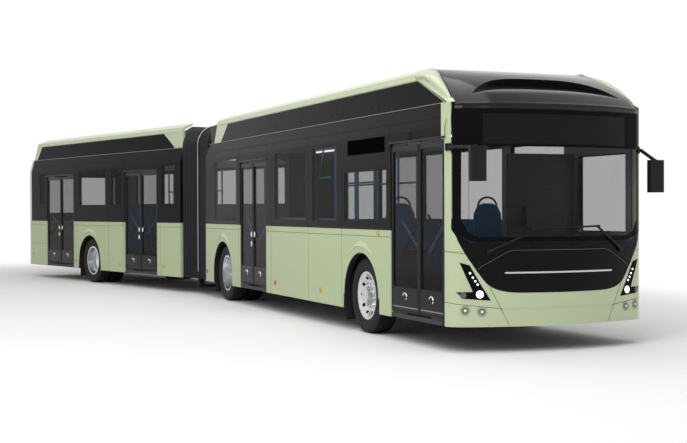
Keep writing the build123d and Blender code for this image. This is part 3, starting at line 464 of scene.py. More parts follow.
INNER_X = HALF - 0.03
LINING_TOP_Z = 2.4
SCREEN_END_Y = 0.45
TAIL_CORNER_X = 1.19
for section in ("front", "rear"):
    for side, word in SIDES:
        paint_faces(f"{section}_side_{word}", section, WALL_PAINT, LINING,
                    lambda points: (all(abs(p.x) < INNER_X for p in points)
                                    and min(p.z for p in points) < LINING_TOP_Z))
    paint(f"{section}_floor", FLOOR)
    paint(f"{section}_roof", ROOF_PAINT)
    paint(f"{section}_fairing", GREEN)
    paint(f"{section}_seats", SEAT)
    paint(f"{section}_handrails", RAIL)
paint("front_mask", MASK_BLACK)
paint_faces("front_bumper", "front", GREEN, LINING, lambda points: all(inside_nose(p) for p in points))
paint("headlamps", BLACK)
paint_faces("front_glazing", "front", GLASS, SCREEN_GLASS,
            lambda points: all(p.y < SCREEN_END_Y for p in points))
paint("rear_glazing", GLASS)
paint("driver_cab", CAB)
paint("mirrors", SATIN)
paint("front_axles", STEEL)
paint("centre_frame", HOOP)
paint_faces("rear_end", "rear", WALL_PAINT, GREEN,
            lambda points: all(abs(p.x) > TAIL_CORNER_X for p in points))
paint("rear_hatch", GREEN)
paint("tail_lamps", RED)
paint("drive_unit", STEEL)
for side, word in SIDES:
    paint(f"knuckle_{word}", STEEL)
    paint(f"front_rim_{word}", ALLOY)
    paint(f"middle_rims_{word}", ALLOY)
    paint(f"rear_rims_{word}", ALLOY)

LEAF_MIDDLE = LEAF_OUT - LEAF_T / 2 + 0.004
PANE_HALF_T = 0.0058
for name, section, front, meeting, rear in DOORS:
    for which in ("front", "rear"):
        paint_faces(f"{name}_{which}_leaf", section, SATIN, DOOR_GLASS,
                    lambda points: all(abs(-p.x - LEAF_MIDDLE) < PANE_HALF_T for p in points))
        paint(f"{name}_{which}_arms", STEEL)


# Side walls: seams, window borders, arch trims, roof line

CANTRAIL_Z = 2.57
SEAM_Y = {
    ("front", -1): (3.289, 4.52, 6.11, 7.76),
    ("front", 1): (1.7, 3.289, 4.52, 6.11, 7.76),
    ("rear", -1): (12.06, 13.66, 14.37, 16.0),
    ("rear", 1): (12.06, 13.2, 14.37, 16.0),
}
WALL_START_Y = 0.44
BELT_LINE = (BELT_Z - 0.082, BELT_Z - 0.077)
HEADER_SIDE = 0.03
HEADER_Z = DOOR_TOP + 0.01
HEADER_LINE_H = 0.008


def spans_between(start, end, holes):
    """What is left of a run after the holes are taken from it."""
    left = []
    at = start
    for low, high in sorted(holes):
        if low > at:
            left.append((at, low))
        at = max(at, high)
    if at < end:
        left.append((at, end))
    return left


def panel_seams(section, side, word, start, end):
    """Upright joints between panels, the line under the belt, and the frames of the door headers."""
    doors = [d for d in DOORS if d[1] == section] if side < 0 else []
    door_holes = [(d[2], d[4]) for d in doors]
    arch_holes = [(AXLE_Y[a] - ARCH_HALF[a], AXLE_Y[a] + ARCH_HALF[a]) for a in SECTION_AXLES[section]]
    seams = Shape()
    dark = Shape()
    for y in SEAM_Y[section, side]:
        across = (y - SEAM_W / 2, y + SEAM_W / 2)
        if not any(low < y < high for low, high in arch_holes):
            wall_strip(seams, side, across, (SKIRT_Z + 0.02, BELT_Z))
        leaning_strip(dark, side, across, BELT_Z, CANTRAIL_Z)
    for low, high in spans_between(start, end, door_holes):
        wall_strip(seams, side, (low + 0.004, high - 0.004), BELT_LINE)
    wall_strip(dark, side, (start, end), (CANTRAIL_Z, CANTRAIL_Z + SEAM_W))
    for low, high in door_holes:
        ends = (low - HEADER_SIDE, high + HEADER_SIDE)
        wall_strip(dark, side, ends, (HEADER_Z, HEADER_Z + HEADER_LINE_H), 0.002)
        for y in ends:
            leaning_strip(dark, side, (y, y + SEAM_W), HEADER_Z, CANTRAIL_Z)
    seams.make(f"{section}_panel_seams_{word}", SEAM, "body_panels", section)
    dark.make(f"{section}_window_seams_{word}", SEAM_BLACK_AND_HOLE_SHADE, "body_panels", section)


BORDER_W = 0.042
PANE_IN = 0.002


def window_borders(section, side, word):
    borders = Shape()
    x = span_x(side, PANE_OUT, HALF + 0.0002)
    for y0, y1, z0, z1 in WINDOWS[section, side]:
        outer, inner = [(y0 + b, y1 - b, z0 + b, z1 - b) for b in (PANE_IN, BORDER_W)]
        borders.frame(x, outer, inner)
    borders.make(f"{section}_window_borders_{word}", BLACK, "glazing", section)


ARCH_STEPS = 32
FLAP_T = 0.008
FLAP_Z = (0.13, 0.62)
CRESCENT_STEPS = 24
CRESCENT_REACH = 0.62
CRESCENT_DROP = 0.07


def arch_line(centre, half, foot_in, arc_in):
    """The edge of a wheel arch as (y, z), drawn in by a little at its feet and along its arc."""
    r = ARCH_R - arc_in
    angles = [pi - pi * k / ARCH_STEPS for k in range(ARCH_STEPS + 1)]
    arc = [(centre + r * cos(a), AXLE_Z + r * sin(a)) for a in angles]
    return [(centre - half + foot_in, SKIRT_Z)] + arc + [(centre + half - foot_in, SKIRT_Z)]


def arch_liner(shape, side, centre, half):
    """A rubber lip round a wheel arch, and the mud flap behind the wheel."""
    outline = arch_line(centre, half, 0.003, 0.002)
    inner = arch_line(centre, half, 0.012, 0.012)
    for i in range(len(outline) - 1):
        ring = [outline[i], outline[i + 1], inner[i + 1], inner[i]]
        shape.prism(ring, "x", *span_x(side, HALF - 0.064, HALF - 0.004))
    flap_y = centre + half - 0.035
    shape.box(span_x(side, HALF - 0.36, HALF - 0.03), (flap_y, flap_y + FLAP_T), FLAP_Z)


def arch_crescent(shape, side, centre):
    """The raised crescent over a wheel arch, thickest in its middle."""
    verts = []
    for k in range(CRESCENT_STEPS + 1):
        u = -1 + 2 * k / CRESCENT_STEPS
        swell = 1 - u * u
        a = pi / 2 + CRESCENT_REACH * u
        mid = ARCH_R + 0.145 + 0.03 * swell
        wide = 0.034 * swell + 0.003
        for r, out in ((mid - wide, 0.0), (mid - wide * 0.55, 0.022 * swell + 0.0015), (mid + wide, 0.0)):
            verts.append((side * (HALF - 0.0005 + out), centre + r * cos(a),
                          AXLE_Z - CRESCENT_DROP + r * sin(a)))
    faces = [(3 * i + j, 3 * i + j + 1, 3 * i + j + 4, 3 * i + j + 3)
             for i in range(CRESCENT_STEPS) for j in (0, 1)]
    back = [(3 * i, 3 * i + 3, 3 * i + 5, 3 * i + 2) for i in range(CRESCENT_STEPS)]
    shape.add(verts, faces + back)


def wheel_arches(section, side, word):
    liner = Shape()
    crescent = Shape()
    for axle in SECTION_AXLES[section]:
        arch_liner(liner, side, AXLE_Y[axle], ARCH_HALF[axle])
        arch_crescent(crescent, side, AXLE_Y[axle])
    liner.make(f"{section}_arch_liners_{word}", RUBBER, "floor_steel", section)
    crescent.make(f"{section}_arch_crescents_{word}", GREEN, "body_panels", section, smooth=40)


def roof_line(section, side, word, start, end):
    """The bright strip along the foot of the roof fairing."""
    line = Shape()
    outline = [(side * 1.199, ROOF_EDGE_Z - 0.001), (side * 1.212, ROOF_EDGE_Z + 0.003),
               (side * 1.213, ROOF_EDGE_Z + 0.009), (side * 1.2005, ROOF_EDGE_Z + 0.013)]
    line.prism(outline, "y", start, end)
    line.make(f"{section}_roof_line_{word}", DULL, "body_panels", section)


for section, start, end in (("front", WALL_START_Y, FRONT_END), ("rear", REAR_START, REAR_END - 0.06)):
    for side, word in SIDES:
        panel_seams(section, side, word, start, end)
        window_borders(section, side, word)
        wheel_arches(section, side, word)
        roof_line(section, side, word, start, end)


# Markers: station, height, whether it is red, on both sides of a section
MARKERS = {
    "front": ((2.122, 1.266, False), (6.269, 1.273, False), (4.038, 0.461, False), (5.926, 0.462, True),
              (9.6, 0.464, True)),
    "rear": ((13.714, 1.26, False), (16.06, 1.265, False), (11.927, 0.473, False), (13.836, 0.457, False),
             (16.036, 0.456, False), (18.454, 0.537, False)),
}
MARKER_R = 0.036
for section, side, word in WALLS:
    amber = Shape()
    red = Shape()
    for y, z, is_red in MARKERS[section]:
        shape = red if is_red else amber
        shape.disc(span_x(side, HALF - 0.001, HALF + 0.012), y, z, MARKER_R)
    amber.make(f"{section}_amber_markers_{word}", AMBER, "lamp_lens", section, bevel=0.004)
    if red.verts:
        red.make(f"{section}_red_markers_{word}", RED, "lamp_lens", section, bevel=0.004)


# Black side covers of the roof fairings, with their seams and latches

COVER_LOW = ROOF_EDGE_Z + 0.0125
COVER_HIGH = RAIL_EDGE_Z - 0.01
COVERS = {
    "front": ((0.5, COVER_LOW), (1.13, COVER_HIGH - 0.012), (1.16, COVER_HIGH), (8.56, COVER_HIGH),
              (8.98, COVER_LOW)),
    "rear": ((11.58, COVER_LOW), (12.01, COVER_HIGH), (18.06, COVER_HIGH), (18.35, COVER_LOW)),
}
COVER_SEAMS = {"front": (2.25, 3.6, 4.95, 6.3, 7.6), "rear": (13.4, 14.9, 16.4, 17.7)}
LATCH_STEP = 0.18
LATCH_Z = COVER_LOW + 0.09
LATCH_R = 0.014
for section, side, word in WALLS:
    cover = Shape().prism(COVERS[section], "x", *span_x(side, FAIRING_X - 0.002, FAIRING_X + 0.005))
    cover.make(f"{section}_roof_covers_{word}", BLACK, "fairing_paint", section, bevel=0.002)
    cuts = Shape()
    x = span_x(side, FAIRING_X + 0.004, FAIRING_X + 0.0058)
    for y in COVER_SEAMS[section]:
        cuts.box(x, (y, y + SEAM_W), (COVER_LOW, COVER_HIGH))
        for step in (-LATCH_STEP, LATCH_STEP):
            cuts.disc(x, y + step, LATCH_Z, LATCH_R)
    cuts.make(f"{section}_cover_seams_{word}", SEAM_BLACK_AND_HOLE_SHADE, "fairing_paint", section)


# Front display window in the wall behind the first door, left blank

display = Shape().box((-HALF - 0.0015, -HALF + 0.003), (1.918, 3.075), (2.257, 2.445))
display.make("side_display_window", DISPLAY_BLACK, "glazing", bevel=0.001)


# Rain gutters over the doors, and the catch in the first header

for name, section, front, meeting, rear in DOORS:
    gutter = Shape().prism([(-HALF + 0.002, DOOR_TOP + 0.004), (-HALF - 0.014, DOOR_TOP + 0.004),
                            (-HALF - 0.012, DOOR_TOP + 0.02), (-HALF + 0.002, DOOR_TOP + 0.03)],
                           "y", front - 0.03, rear + 0.035)
    gutter.make(f"{name}_gutter", SATIN, "black_gloss", section)

CATCH_AT = (1.2, 2.405)
CATCH_R = 0.028
CATCH_HALF_H = 0.02
catch = Shape()
outline = [(y, z + (CATCH_HALF_H if k < 8 else -CATCH_HALF_H))
           for k, (y, z) in enumerate(circle(CATCH_AT, CATCH_R, 16))]
catch.prism(outline, "x", -HALF - 0.002, -HALF + 0.002)
catch.make("header_catch", SEAM_BLACK_AND_HOLE_SHADE, "black_gloss")

TAIL_SEAM_Y = (17.66, REAR_END - 0.062)
TAIL_SEAM_Z = (0.79, 0.794)
for side, word in SIDES:
    tail_seam = wall_strip(Shape(), side, TAIL_SEAM_Y, TAIL_SEAM_Z)
    tail_seam.make(f"tail_seam_{word}", SEAM, "body_panels", "rear")


# Rails seen through the door-side windows

BAR_SPANS = ((3.46, 4.35), (4.64, 5.93))
POSTS = ((-0.9, 3.62), (-0.9, 4.15), (-0.75, 4.75), (-0.75, 5.6))
HANGERS = (4.7, 5.3)
HANGER_X = -0.95
rails = Shape()
for low, high in BAR_SPANS:
    rails.tube([(-1.17, low, 1.425), (-1.17, high, 1.425)], 0.014)
for x, y in POSTS:
    rails.tube([(x, y, 1.35), (x, y, 2.55)], 0.015)
for y in HANGERS:
    rails.tube([(HANGER_X, y - 0.22, 2.02), (HANGER_X, y + 0.2, 2.02), (HANGER_X, y + 0.1, 2.3),
                (HANGER_X, y, 2.52)], 0.013)
rails.make("window_rails", RAIL, "rail_paint", smooth=50)


# Painted front ends of the rear fairing, with two pressed lines each

FOLD_X = FAIRING_X + 0.008
FOLDS = (((11.95, 3.03), (11.62, 2.93), (11.3, 2.78)), ((11.75, 3.035), (11.45, 2.97), (11.26, 2.88)))
for side, word in SIDES:
    ends = Shape()
    ends.prism([(12.03, 3.045), (11.56, 2.752), (11.27, 2.752), (11.245, 2.9), (11.245, 3.045)], "x",
               *span_x(side, FAIRING_X - 0.001, FAIRING_X + 0.0085))
    for fold in FOLDS:
        ends.tube([(side * FOLD_X, y, z) for y, z in fold], 0.006)
    ends.make(f"fairing_end_{word}", GREEN, "fairing_paint", "rear", bevel=0.003)


# Doors: rubbers, kick panel and strip, pull and grab rail on each leaf, and push buttons on the leaves of
# all but the first door

RUBBER_Z = (0.37, 2.305)
KICK_Z = (0.44, 0.66)
STRIP_Z = (0.418, 0.428)
PULL_Z = 0.545
BUTTONS_Z = {"front": (1.17,), "rear": (1.17, 1.02)}


def leaf_trim(leaf, name, section, jamb, free):
    """Trim of a leaf that hangs at the jamb and meets its neighbour at the free edge."""
    low, high = sorted((jamb, free))
    way = 1 if free > jamb else -1
    out = -LEAF_OUT
    x = (out - 0.003, out + 0.012)
    rubber = Shape()
    rubber.box(x, sorted((free, free - way * 0.03)), RUBBER_Z)
    rubber.box(x, sorted((jamb, jamb + way * 0.016)), RUBBER_Z)
    rubber.box(x, (low + 0.02, high - 0.02), (0.367, 0.39))
    rubber.make(f"{leaf}_rubbers", RUBBER, "door_leaf", section, leaf, bevel=0.002)
    panel = Shape().box((out - 0.002, out + 0.016), (low + 0.045, high - 0.045), KICK_Z)
    panel.make(f"{leaf}_kick_panel", MASK_BLACK, "door_leaf", section, leaf, bevel=0.002)
    strip = Shape().box((out - 0.003, out + 0.002), (low + 0.035, high - 0.035), STRIP_Z)
    strip.make(f"{leaf}_kick_strip", DULL if name == "door_1" else SATIN, "door_leaf", section, leaf)
    middle = (low + high) / 2
    angles = [radians(20 + 200 * k / 12) for k in range(13)]
    bump = Shape()
    bump.tube([(out - 0.006, middle + 0.05 * cos(a), PULL_Z + 0.045 * sin(a)) for a in angles], 0.008)
    bump.make(f"{leaf}_bump", CHROME, "door_leaf", section, leaf, smooth=40)
    grab = Shape()
    grab.tube([(out + 0.078, jamb + way * 0.13, 1.42), (out + 0.078, free - way * 0.11, 1.08)], 0.016)
    grab.make(f"{leaf}_grab_rail", RAIL, "door_leaf", section, leaf, smooth=40)


def leaf_buttons(leaf, section, free, way, heights):
    buttons = Shape()
    for z in heights:
        outline = circle((free - way * 0.075, z), 0.023, 20, tall=0.044)
        buttons.prism(outline, "x", -LEAF_OUT - 0.012, -LEAF_OUT)
    buttons.make(f"{leaf}_buttons", WHITE, "door_leaf", section, leaf, bevel=0.004)


JAMB_GAP = 0.008
MEETING_GAP = 0.003
for name, section, front, meeting, rear in DOORS:
    for which, jamb, way in (("front", front + JAMB_GAP, 1), ("rear", rear - JAMB_GAP, -1)):
        leaf = f"{name}_{which}_leaf"
        free = meeting - way * MEETING_GAP
        leaf_trim(leaf, name, section, jamb, free)
        if name != "door_1":
            leaf_buttons(leaf, section, free, way, BUTTONS_Z[which])


# Tyres with tread, hubs with their nuts, and painted shade in the hand holes of the front rims

TYRE_R = 0.475
BEAD_R = 0.2923
TYRE_STEPS = 120
RIBS_X = (-0.08, -0.03, 0.03, 0.08)
GROOVE_HALF = 0.005
GROOVE_DEEP = 0.011
NOTCH_DEEP = 0.006
NOTCH_X = (0.093, 0.131)
NUTS = 10
NUT_R = 0.015
NUT_H = 0.028
HOLES = 10
HOLE_SIDES = 18
HOLE_RING_R = 0.226
CONE_IN = 0.735
CONE_OUT = 0.678


def tyre_shape(centre_x, centre_y):
    """A ribbed tyre: four grooves round it and small notches across its shoulders."""
    half = TYRE_W / 2
    profile = [(-half + 0.031, BEAD_R), (-half + 0.03, BEAD_R + 0.014), (-half * 0.94, BEAD_R + 0.03),
               (-half * 0.985, BEAD_R + 0.06), (-half, BEAD_R + 0.085), (-half * 0.995, BEAD_R + 0.1),
               (-half * 0.965, TYRE_R - 0.05), (-half * 0.93, TYRE_R - 0.03), (-half * 0.87, TYRE_R - 0.012)]
    tread = [(-half * 0.83, TYRE_R - 0.004)]
    for x in RIBS_X:
        top = TYRE_R - 0.0035 * (x / 0.1) ** 2
        floor_r = top - GROOVE_DEEP
        tread += [(x - GROOVE_HALF, top), (x - GROOVE_HALF * 0.6, floor_r), (x + GROOVE_HALF * 0.6, floor_r),
                  (x + GROOVE_HALF, top)]
    tread.append((half * 0.83, TYRE_R - 0.004))
    ring = profile + tread + [(-x, r) for x, r in reversed(profile)]
    n = len(ring)
    verts = []
    for k in range(TYRE_STEPS):
        a = 2 * pi * k / TYRE_STEPS
        for x, r in ring:
            notched = k % 3 == 0 and NOTCH_X[0] < abs(x) < NOTCH_X[1] and r > TYRE_R - 0.04
            reach = r - NOTCH_DEEP if notched else r
            verts.append((centre_x + x, centre_y + reach * cos(a), AXLE_Z + reach * sin(a)))
    faces = []
    for k in range(TYRE_STEPS):
        after = (k + 1) % TYRE_STEPS
        for i in range(n):
            j = (i + 1) % n
            faces.append((k * n + i, k * n + j, after * n + j, after * n + i))
    return Shape().add(verts, faces)


def nuts(shape, side, x, centre_y, ring_r):
    """A ring of hexagonal nuts that stand out from a wheel disc."""
    for k in range(NUTS):
        a = 2 * pi * (k + 0.5) / NUTS
        centre = (centre_y + ring_r * cos(a), AXLE_Z + ring_r * sin(a))
        shape.prism(circle(centre, NUT_R, 6, turn=a), "x", *span_x(side, x, x + NUT_H))


def hand_hole_shade(side, centre_y):
    """Dark oval discs on the cone of a rim, painted shade where the real one is open."""
    holes = Shape()
    sides = HOLE_SIDES
    for k in range(HOLES):
        verts = []
        for proud in (-0.004, 0.0014):
            for along, up in circle((0, 0), 0.027, sides, tall=0.022):
                x = WHEEL_X + 0.076 + CONE_OUT * up + CONE_IN * proud
                r = HOLE_RING_R + CONE_IN * up - CONE_OUT * proud
                a = 2 * pi * k / HOLES + along / r
                verts.append((side * x, centre_y + r * cos(a), AXLE_Z + r * sin(a)))
        walls = [(j, (j + 1) % sides, sides + (j + 1) % sides, sides + j) for j in range(sides)]
        holes.add(verts, [list(range(sides))[::-1], list(range(sides, 2 * sides))] + walls)
    return holes


def front_wheel(side, word):
    body = f"front_wheel_{word}"
    y = AXLE_Y["front"]
    tyre = tyre_shape(side * WHEEL_X, y)
    piece = tyre.make(f"front_tyre_tread_{word}", RUBBER, "tyre", body=body, smooth=35)
    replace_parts(piece, f"front_tyre_{word}")
    # Dark discs as painted shade in the open hand holes of the rim
    hand_hole_shade(side, y).make(f"front_hand_holes_{word}", SEAM_BLACK_AND_HOLE_SHADE, "rim", body=body)
    hub = Shape()
    face = WHEEL_X + 0.052
    profile = ((0, 0.165), (0.006, 0.165), (0.012, 0.12), (0.06, 0.105), (0.085, 0.098), (0.09, 0.085),
               (0.09, 0.001), (0, 0.001))
    hub.lathe([(side * (face + x), r) for x, r in profile], (y, AXLE_Z), 48)
    nuts(hub, side, face, y, 0.142)
    hub.make(f"front_hub_{word}", ALLOY, "rim", body=body, smooth=35, bevel=0.0015)


def twin_wheels(axle, section, side, word):
    body = f"{axle}_wheels_{word}"
    y = AXLE_Y[axle]
    tyre = tyre_shape(side * WHEEL_X, y)
    inner = tyre_shape(side * (WHEEL_X - TWIN_PITCH), y)
    tyre.add(inner.verts, inner.faces)
    piece = tyre.make(f"{axle}_tyre_treads_{word}", RUBBER, "tyre", section, body, smooth=35)
    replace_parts(piece, f"{axle}_tyres_{word}")
    hub = Shape()
    face = WHEEL_X - TWIN_PITCH / 2 + 0.037
    nuts(hub, side, face, y, 0.145)
    profile = ((0, 0.11), (0.05, 0.1), (0.056, 0.09), (0.056, 0.001), (0, 0.001))
    hub.lathe([(side * (face + x), r) for x, r in profile], (y, AXLE_Z), 40)
    hub.make(f"{axle}_hub_{word}", ALLOY, "rim", section, body, smooth=35, bevel=0.0015)


for side, word in SIDES:
    front_wheel(side, word)
    twin_wheels("middle", "front", side, word)
    twin_wheels("rear", "rear", side, word)


# Bellows: pleated fabric tunnel, curved between the two sections as they stand at rest

BELLOWS_X = 1.24
BELLOWS_TOP = 3.105
BELLOWS_CORNER = 0.35
BELLOWS_LOW = 0.29
BELLOWS_LENGTH_SHARE = 0.997
PLEATS = 24
PLEAT_STEPS = 8
PLEAT_DEPTH = 0.035
CLOTH_IN = 0.002
CLOTH_T = 0.012
LEG_STEPS = 6
CORNER_STEPS = 8


def portal(inset):
    """Half-round-cornered portal outline from one foot to the other, as (x, z)."""
    half = BELLOWS_X - inset
    top = BELLOWS_TOP - inset
    corner = BELLOWS_CORNER - inset
    leg = top - corner - BELLOWS_LOW
    left = [(-half, BELLOWS_LOW + leg * k / LEG_STEPS) for k in range(LEG_STEPS)]
    for k in range(CORNER_STEPS + 1):
        a = pi - pi / 2 * k / CORNER_STEPS
        left.append((-half + corner + corner * cos(a), top - corner + corner * sin(a)))
    right = [(-x, z) for x, z in reversed(left)]
    return left + right


def bellows_tunnel():
    stations = PLEATS * PLEAT_STEPS + 1
    verts = []
    count = len(portal(0))
    for thickness in (0.0, CLOTH_T):
        for i in range(stations):
            t = i / (stations - 1)
            eased = t * t * (3 - 2 * t)
            fold = 1 - abs(sin(pi * PLEATS * t))
            turn = Matrix.Rotation(REST_BEND * eased, 4, "Z")
            for x, z in portal(CLOTH_IN + thickness + PLEAT_DEPTH * fold):
                spot = turn @ Vector((x, GAP_HALF * BELLOWS_LENGTH_SHARE * (2 * t - 1), z))
                verts.append((spot.x, spot.y + PIVOT_Y, spot.z))
    faces = []
    layer = stations * count
    for i in range(stations - 1):
        for j in range(count - 1):
            a = i * count + j
            faces.append((a, a + 1, a + count + 1, a + count))
            faces.append((layer + a, layer + a + count, layer + a + count + 1, layer + a + 1))
    for i in range(stations - 1):
        for j in (0, count - 1):
            a = i * count + j
            faces.append((a, a + count, layer + a + count, layer + a))
    for i in (0, stations - 1):
        for j in range(count - 1):
            a = i * count + j
            faces.append((a, layer + a, layer + a + 1, a + 1))
    return Shape().add(verts, faces)


tunnel = bellows_tunnel()
mesh = bpy.data.meshes.new("bellows_fabric")
mesh.from_pydata([FRONT @ v for v in tunnel.verts], [], tunnel.faces)
mesh.materials.append(FABRIC)
mesh.materials.append(RIDGE_HIGHLIGHT)
mesh.polygons.foreach_set("use_smooth", [True] * len(mesh.polygons))
mesh.set_sharp_from_angle(angle=radians(40))
around = len(portal(0)) - 1
# Two rows of faces along each pleat crest take the lighter grey, a painted highlight on the ridges
for k in range(PLEATS * PLEAT_STEPS):
    if k % PLEAT_STEPS in (3, 4):
        for j in range(around):
            mesh.polygons[(k * around + j) * 2].material_index = 1
fabric = placed("bellows_fabric", mesh)
start = FRONT @ Vector((0, PIVOT_Y - GAP_HALF, 0))
end = REAR @ Vector((0, PIVOT_Y + GAP_HALF, 0))
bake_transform(fabric)
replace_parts(fabric, "bellows")


# Bright edge of the hoop in the middle of the bellows

HOOP_OUT = 0.015
HOOP_FOOT_Z = 0.42
half_turn = Matrix.Rotation(REST_BEND / 2, 4, "Z")
edge = []
for x, z in portal(-HOOP_OUT):
    spot = half_turn @ Vector((x, 0, z))
    edge.append((spot.x, spot.y + PIVOT_Y, spot.z))
for end_point in (0, -1):
    edge[end_point] = (*edge[end_point][:2], HOOP_FOOT_Z)
hoop = Shape().tube(edge, 0.009, 8)
hoop.make("hoop_edge", HOOP_BRIGHT, "bellows_rubber", body="centre_frame", smooth=50)


# Painted corner of the tail above the belt

for side, word in SIDES:
    corner = leaning_strip(Shape(), side, (REAR_END - 0.1, REAR_END - 0.061), BELT_Z, ROOF_EDGE_Z, 0.0008)
    corner.make(f"tail_corner_{word}", GREEN, "body_panels", "rear")


# Roof cap and the painted ribbons beside it, as smooth skins over the frame

CAP_MIDDLE = ((0.0, 2.655), (0.03, 2.70), (0.09, 2.745), (0.25, 2.855), (0.465, 2.97), (0.75, 3.09),
              (1.09, 3.175), (1.25, 3.185))
CAP_SIDE = ((1.2, 0.285, 2.655), (1.198, 0.3, 2.7), (1.189, 0.33, 2.745), (1.165, 0.44, 2.84),
            (1.125, 0.61, 2.955), (1.075, 0.82, 3.07), (1.005, 1.06, 3.165), (1.0, 1.25, 3.185))
CAP_S = 1.27
CAP_CROWN = 0.035
CAP_COLUMNS = 120
LOW_ROWS = 20
SLOT_ROWS = 10
TOP_ROWS = 16
RIDGE_U = 0.17
RIDGE_HALF = 0.06
RIDGE_OUT = 0.012
SLOT_END = 0.8
SLOT_LOW = 0.38
SLOT_RISE = 0.235
SLOT_DEEP = 0.075
SLOT_LIP = 0.004


def through(points, u):
    """A smooth curve through points, u from 0 to 1."""
    last = len(points) - 1
    k = min(int(u * last), last - 1)
    t = u * last - k
    a, b, c, d = [Vector(points[max(0, min(last, k + i))]) for i in (-1, 0, 1, 2)]
    return 0.5 * (2 * b + (c - a) * t + (2 * a - 5 * b + 4 * c - d) * t ** 2
                  + (3 * b - a - 3 * c + d) * t ** 3)


def cap_point(across, u, sunk):
    """A point of the cap: across from -1 to 1, u from its foot to its rear edge."""
    edge = nose_at(CAP_S, 0)
    plan = nose_at(abs(across) * CAP_S, 0)
    share = plan.y / edge.y
    middle = through(CAP_MIDDLE, u)
    rim = through(CAP_SIDE, u)
    side = 1 if across >= 0 else -1
    crown = CAP_CROWN * sin(pi * min(1, u * 1.02)) ** 2 * (1 - across ** 4)
    ridge = RIDGE_OUT * max(0.0, 1 - abs(u - RIDGE_U) / RIDGE_HALF)
    return (side * rim.x * plan.x / edge.x, middle.x + (rim.y - middle.x) * share + sunk * 0.5 - ridge,
            middle.y + (rim.z - middle.y) * share - sunk + crown)


def cap_rows(across):
    """Heights up the cap and how deep each is sunk: the air slot is a scoop under a sharp lip."""
    rise = SLOT_RISE * max(0.0, 1 - (abs(across) / SLOT_END) ** 4)
    top = SLOT_LOW + rise
    lip = top + SLOT_LIP
    rows = [(SLOT_LOW * k / LOW_ROWS, 0.0) for k in range(LOW_ROWS + 1)]
    for k in range(1, SLOT_ROWS + 1):
        share = k / SLOT_ROWS
        rows.append((SLOT_LOW + rise * share, SLOT_DEEP * rise / SLOT_RISE * share ** 1.2))
    rows.append((lip, 0.0))
    rows += [(lip + (1 - lip) * k / TOP_ROWS, 0.0) for k in range(1, TOP_ROWS + 1)]
    return rows


def thicken(piece, thickness):
    wall = piece.modifiers.new("thickness", "SOLIDIFY")
    wall.thickness = thickness
    wall.offset = -1


def sheet_faces(columns, rows):
    """Four-sided faces over a grid of points listed column by column."""
    return [(i * rows + j, i * rows + j + 1, (i + 1) * rows + j + 1, (i + 1) * rows + j)
            for i in range(columns - 1) for j in range(rows - 1)]


columns = [-1 + 2 * i / CAP_COLUMNS for i in range(CAP_COLUMNS + 1)]
grid = [[cap_point(c, u, sunk) for u, sunk in cap_rows(c)] for c in columns]
cap = Shape().add([v for column in grid for v in column], sheet_faces(len(columns), len(grid[0])))
cap_skin = cap.make("cap_skin", CAP_BLACK, "black_gloss", smooth=35)
thicken(cap_skin, 0.012)
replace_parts(cap_skin, "front_cap")

RIBBON = (
    ((1.203, 1.16, 3.043), (1.203, 0.95, 3.03), (1.203, 0.8, 2.955), (1.203, 0.62, 2.86),
     (1.204, 0.47, 2.775), (1.212, 0.425, 2.7), (1.238, 0.415, 2.6)),
    ((1.217, 1.16, 3.12), (1.217, 0.93, 3.09), (1.217, 0.72, 3.0), (1.217, 0.53, 2.89), (1.218, 0.4, 2.79),
     (1.226, 0.36, 2.7), (1.244, 0.35, 2.6)),
    ((1.0, 1.16, 3.2), (1.035, 0.98, 3.142), (1.09, 0.78, 3.05), (1.14, 0.57, 2.935), (1.175, 0.42, 2.835),
     (1.196, 0.33, 2.745), (1.212, 0.298, 2.6)),
)
RIBBON_STEPS = 36
RIBBON_ACROSS = 6
RIBBON_X = 1.246
for side, word in SIDES:
    verts = []
    for i in range(RIBBON_STEPS + 1):
        low, mid, top = [through(line, i / RIBBON_STEPS) for line in RIBBON]
        for k in range(RIBBON_ACROSS + 1):
            t = k / RIBBON_ACROSS
            spot = low * (1 - t) ** 2 + (mid * 2 - (low + top) / 2) * 2 * t * (1 - t) + top * t ** 2
            verts.append((side * min(spot.x, RIBBON_X), spot.y, spot.z))
    ribbon = Shape().add(verts, sheet_faces(RIBBON_STEPS + 1, RIBBON_ACROSS + 1))
    skin = ribbon.make(f"ribbon_skin_{word}", GREEN, "fairing_paint", smooth=50)
    thicken(skin, 0.01)


# Saloon: light strips under the ceiling, rearward seats on the front wheel boxes

STRIP_X = 0.62
STRIP_HALF = 0.05
for section, y in (("front", (1.9, 9.3)), ("rear", (11.7, 18.1))):
    strips = Shape()
    for x in (-STRIP_X, STRIP_X):
        strips.box((x - STRIP_HALF, x + STRIP_HALF), y, (CEILING_Z - 0.016, CEILING_Z - 0.004))
    strips.make(f"{section}_light_strips", STRIP, "roof_panel", section)

BOX_SEAT_X = 0.64
BOX_SEAT_BACK_Y = (2.8, 2.86)
BOX_SEAT_BACK = ((-0.2, 1.0), (0.2, 1.0), (0.215, 1.25), (0.2, 1.5), (0.15, 1.6), (0.07, 1.64),
                 (-0.07, 1.64), (-0.15, 1.6), (-0.2, 1.5), (-0.215, 1.25))
for side, word in SIDES:
    middle = side * BOX_SEAT_X
    seat = Shape()
    seat.prism([(middle + x, z) for x, z in BOX_SEAT_BACK], "y", *BOX_SEAT_BACK_Y)
    seat.box((middle - 0.21, middle + 0.21), (BOX_SEAT_BACK_Y[1], 3.24), (1.0, 1.08))
    seat.make(f"box_seat_{word}", SEAT, "seat_shell", bevel=0.02)
    angles = [pi * k / 12 for k in range(13)]
    grip = Shape().tube([(middle + 0.14 * cos(a), 2.83, 1.6 + 0.12 * sin(a)) for a in angles], 0.014)
    grip.make(f"box_seat_grip_{word}", SEAT_GRIP, "seat_shell", smooth=50)


# Nose: boomerang lamps, fog lamps, seams, grille, display band and screen frame. Points are (s, z), and what
# comes in pairs is drawn for the door side.

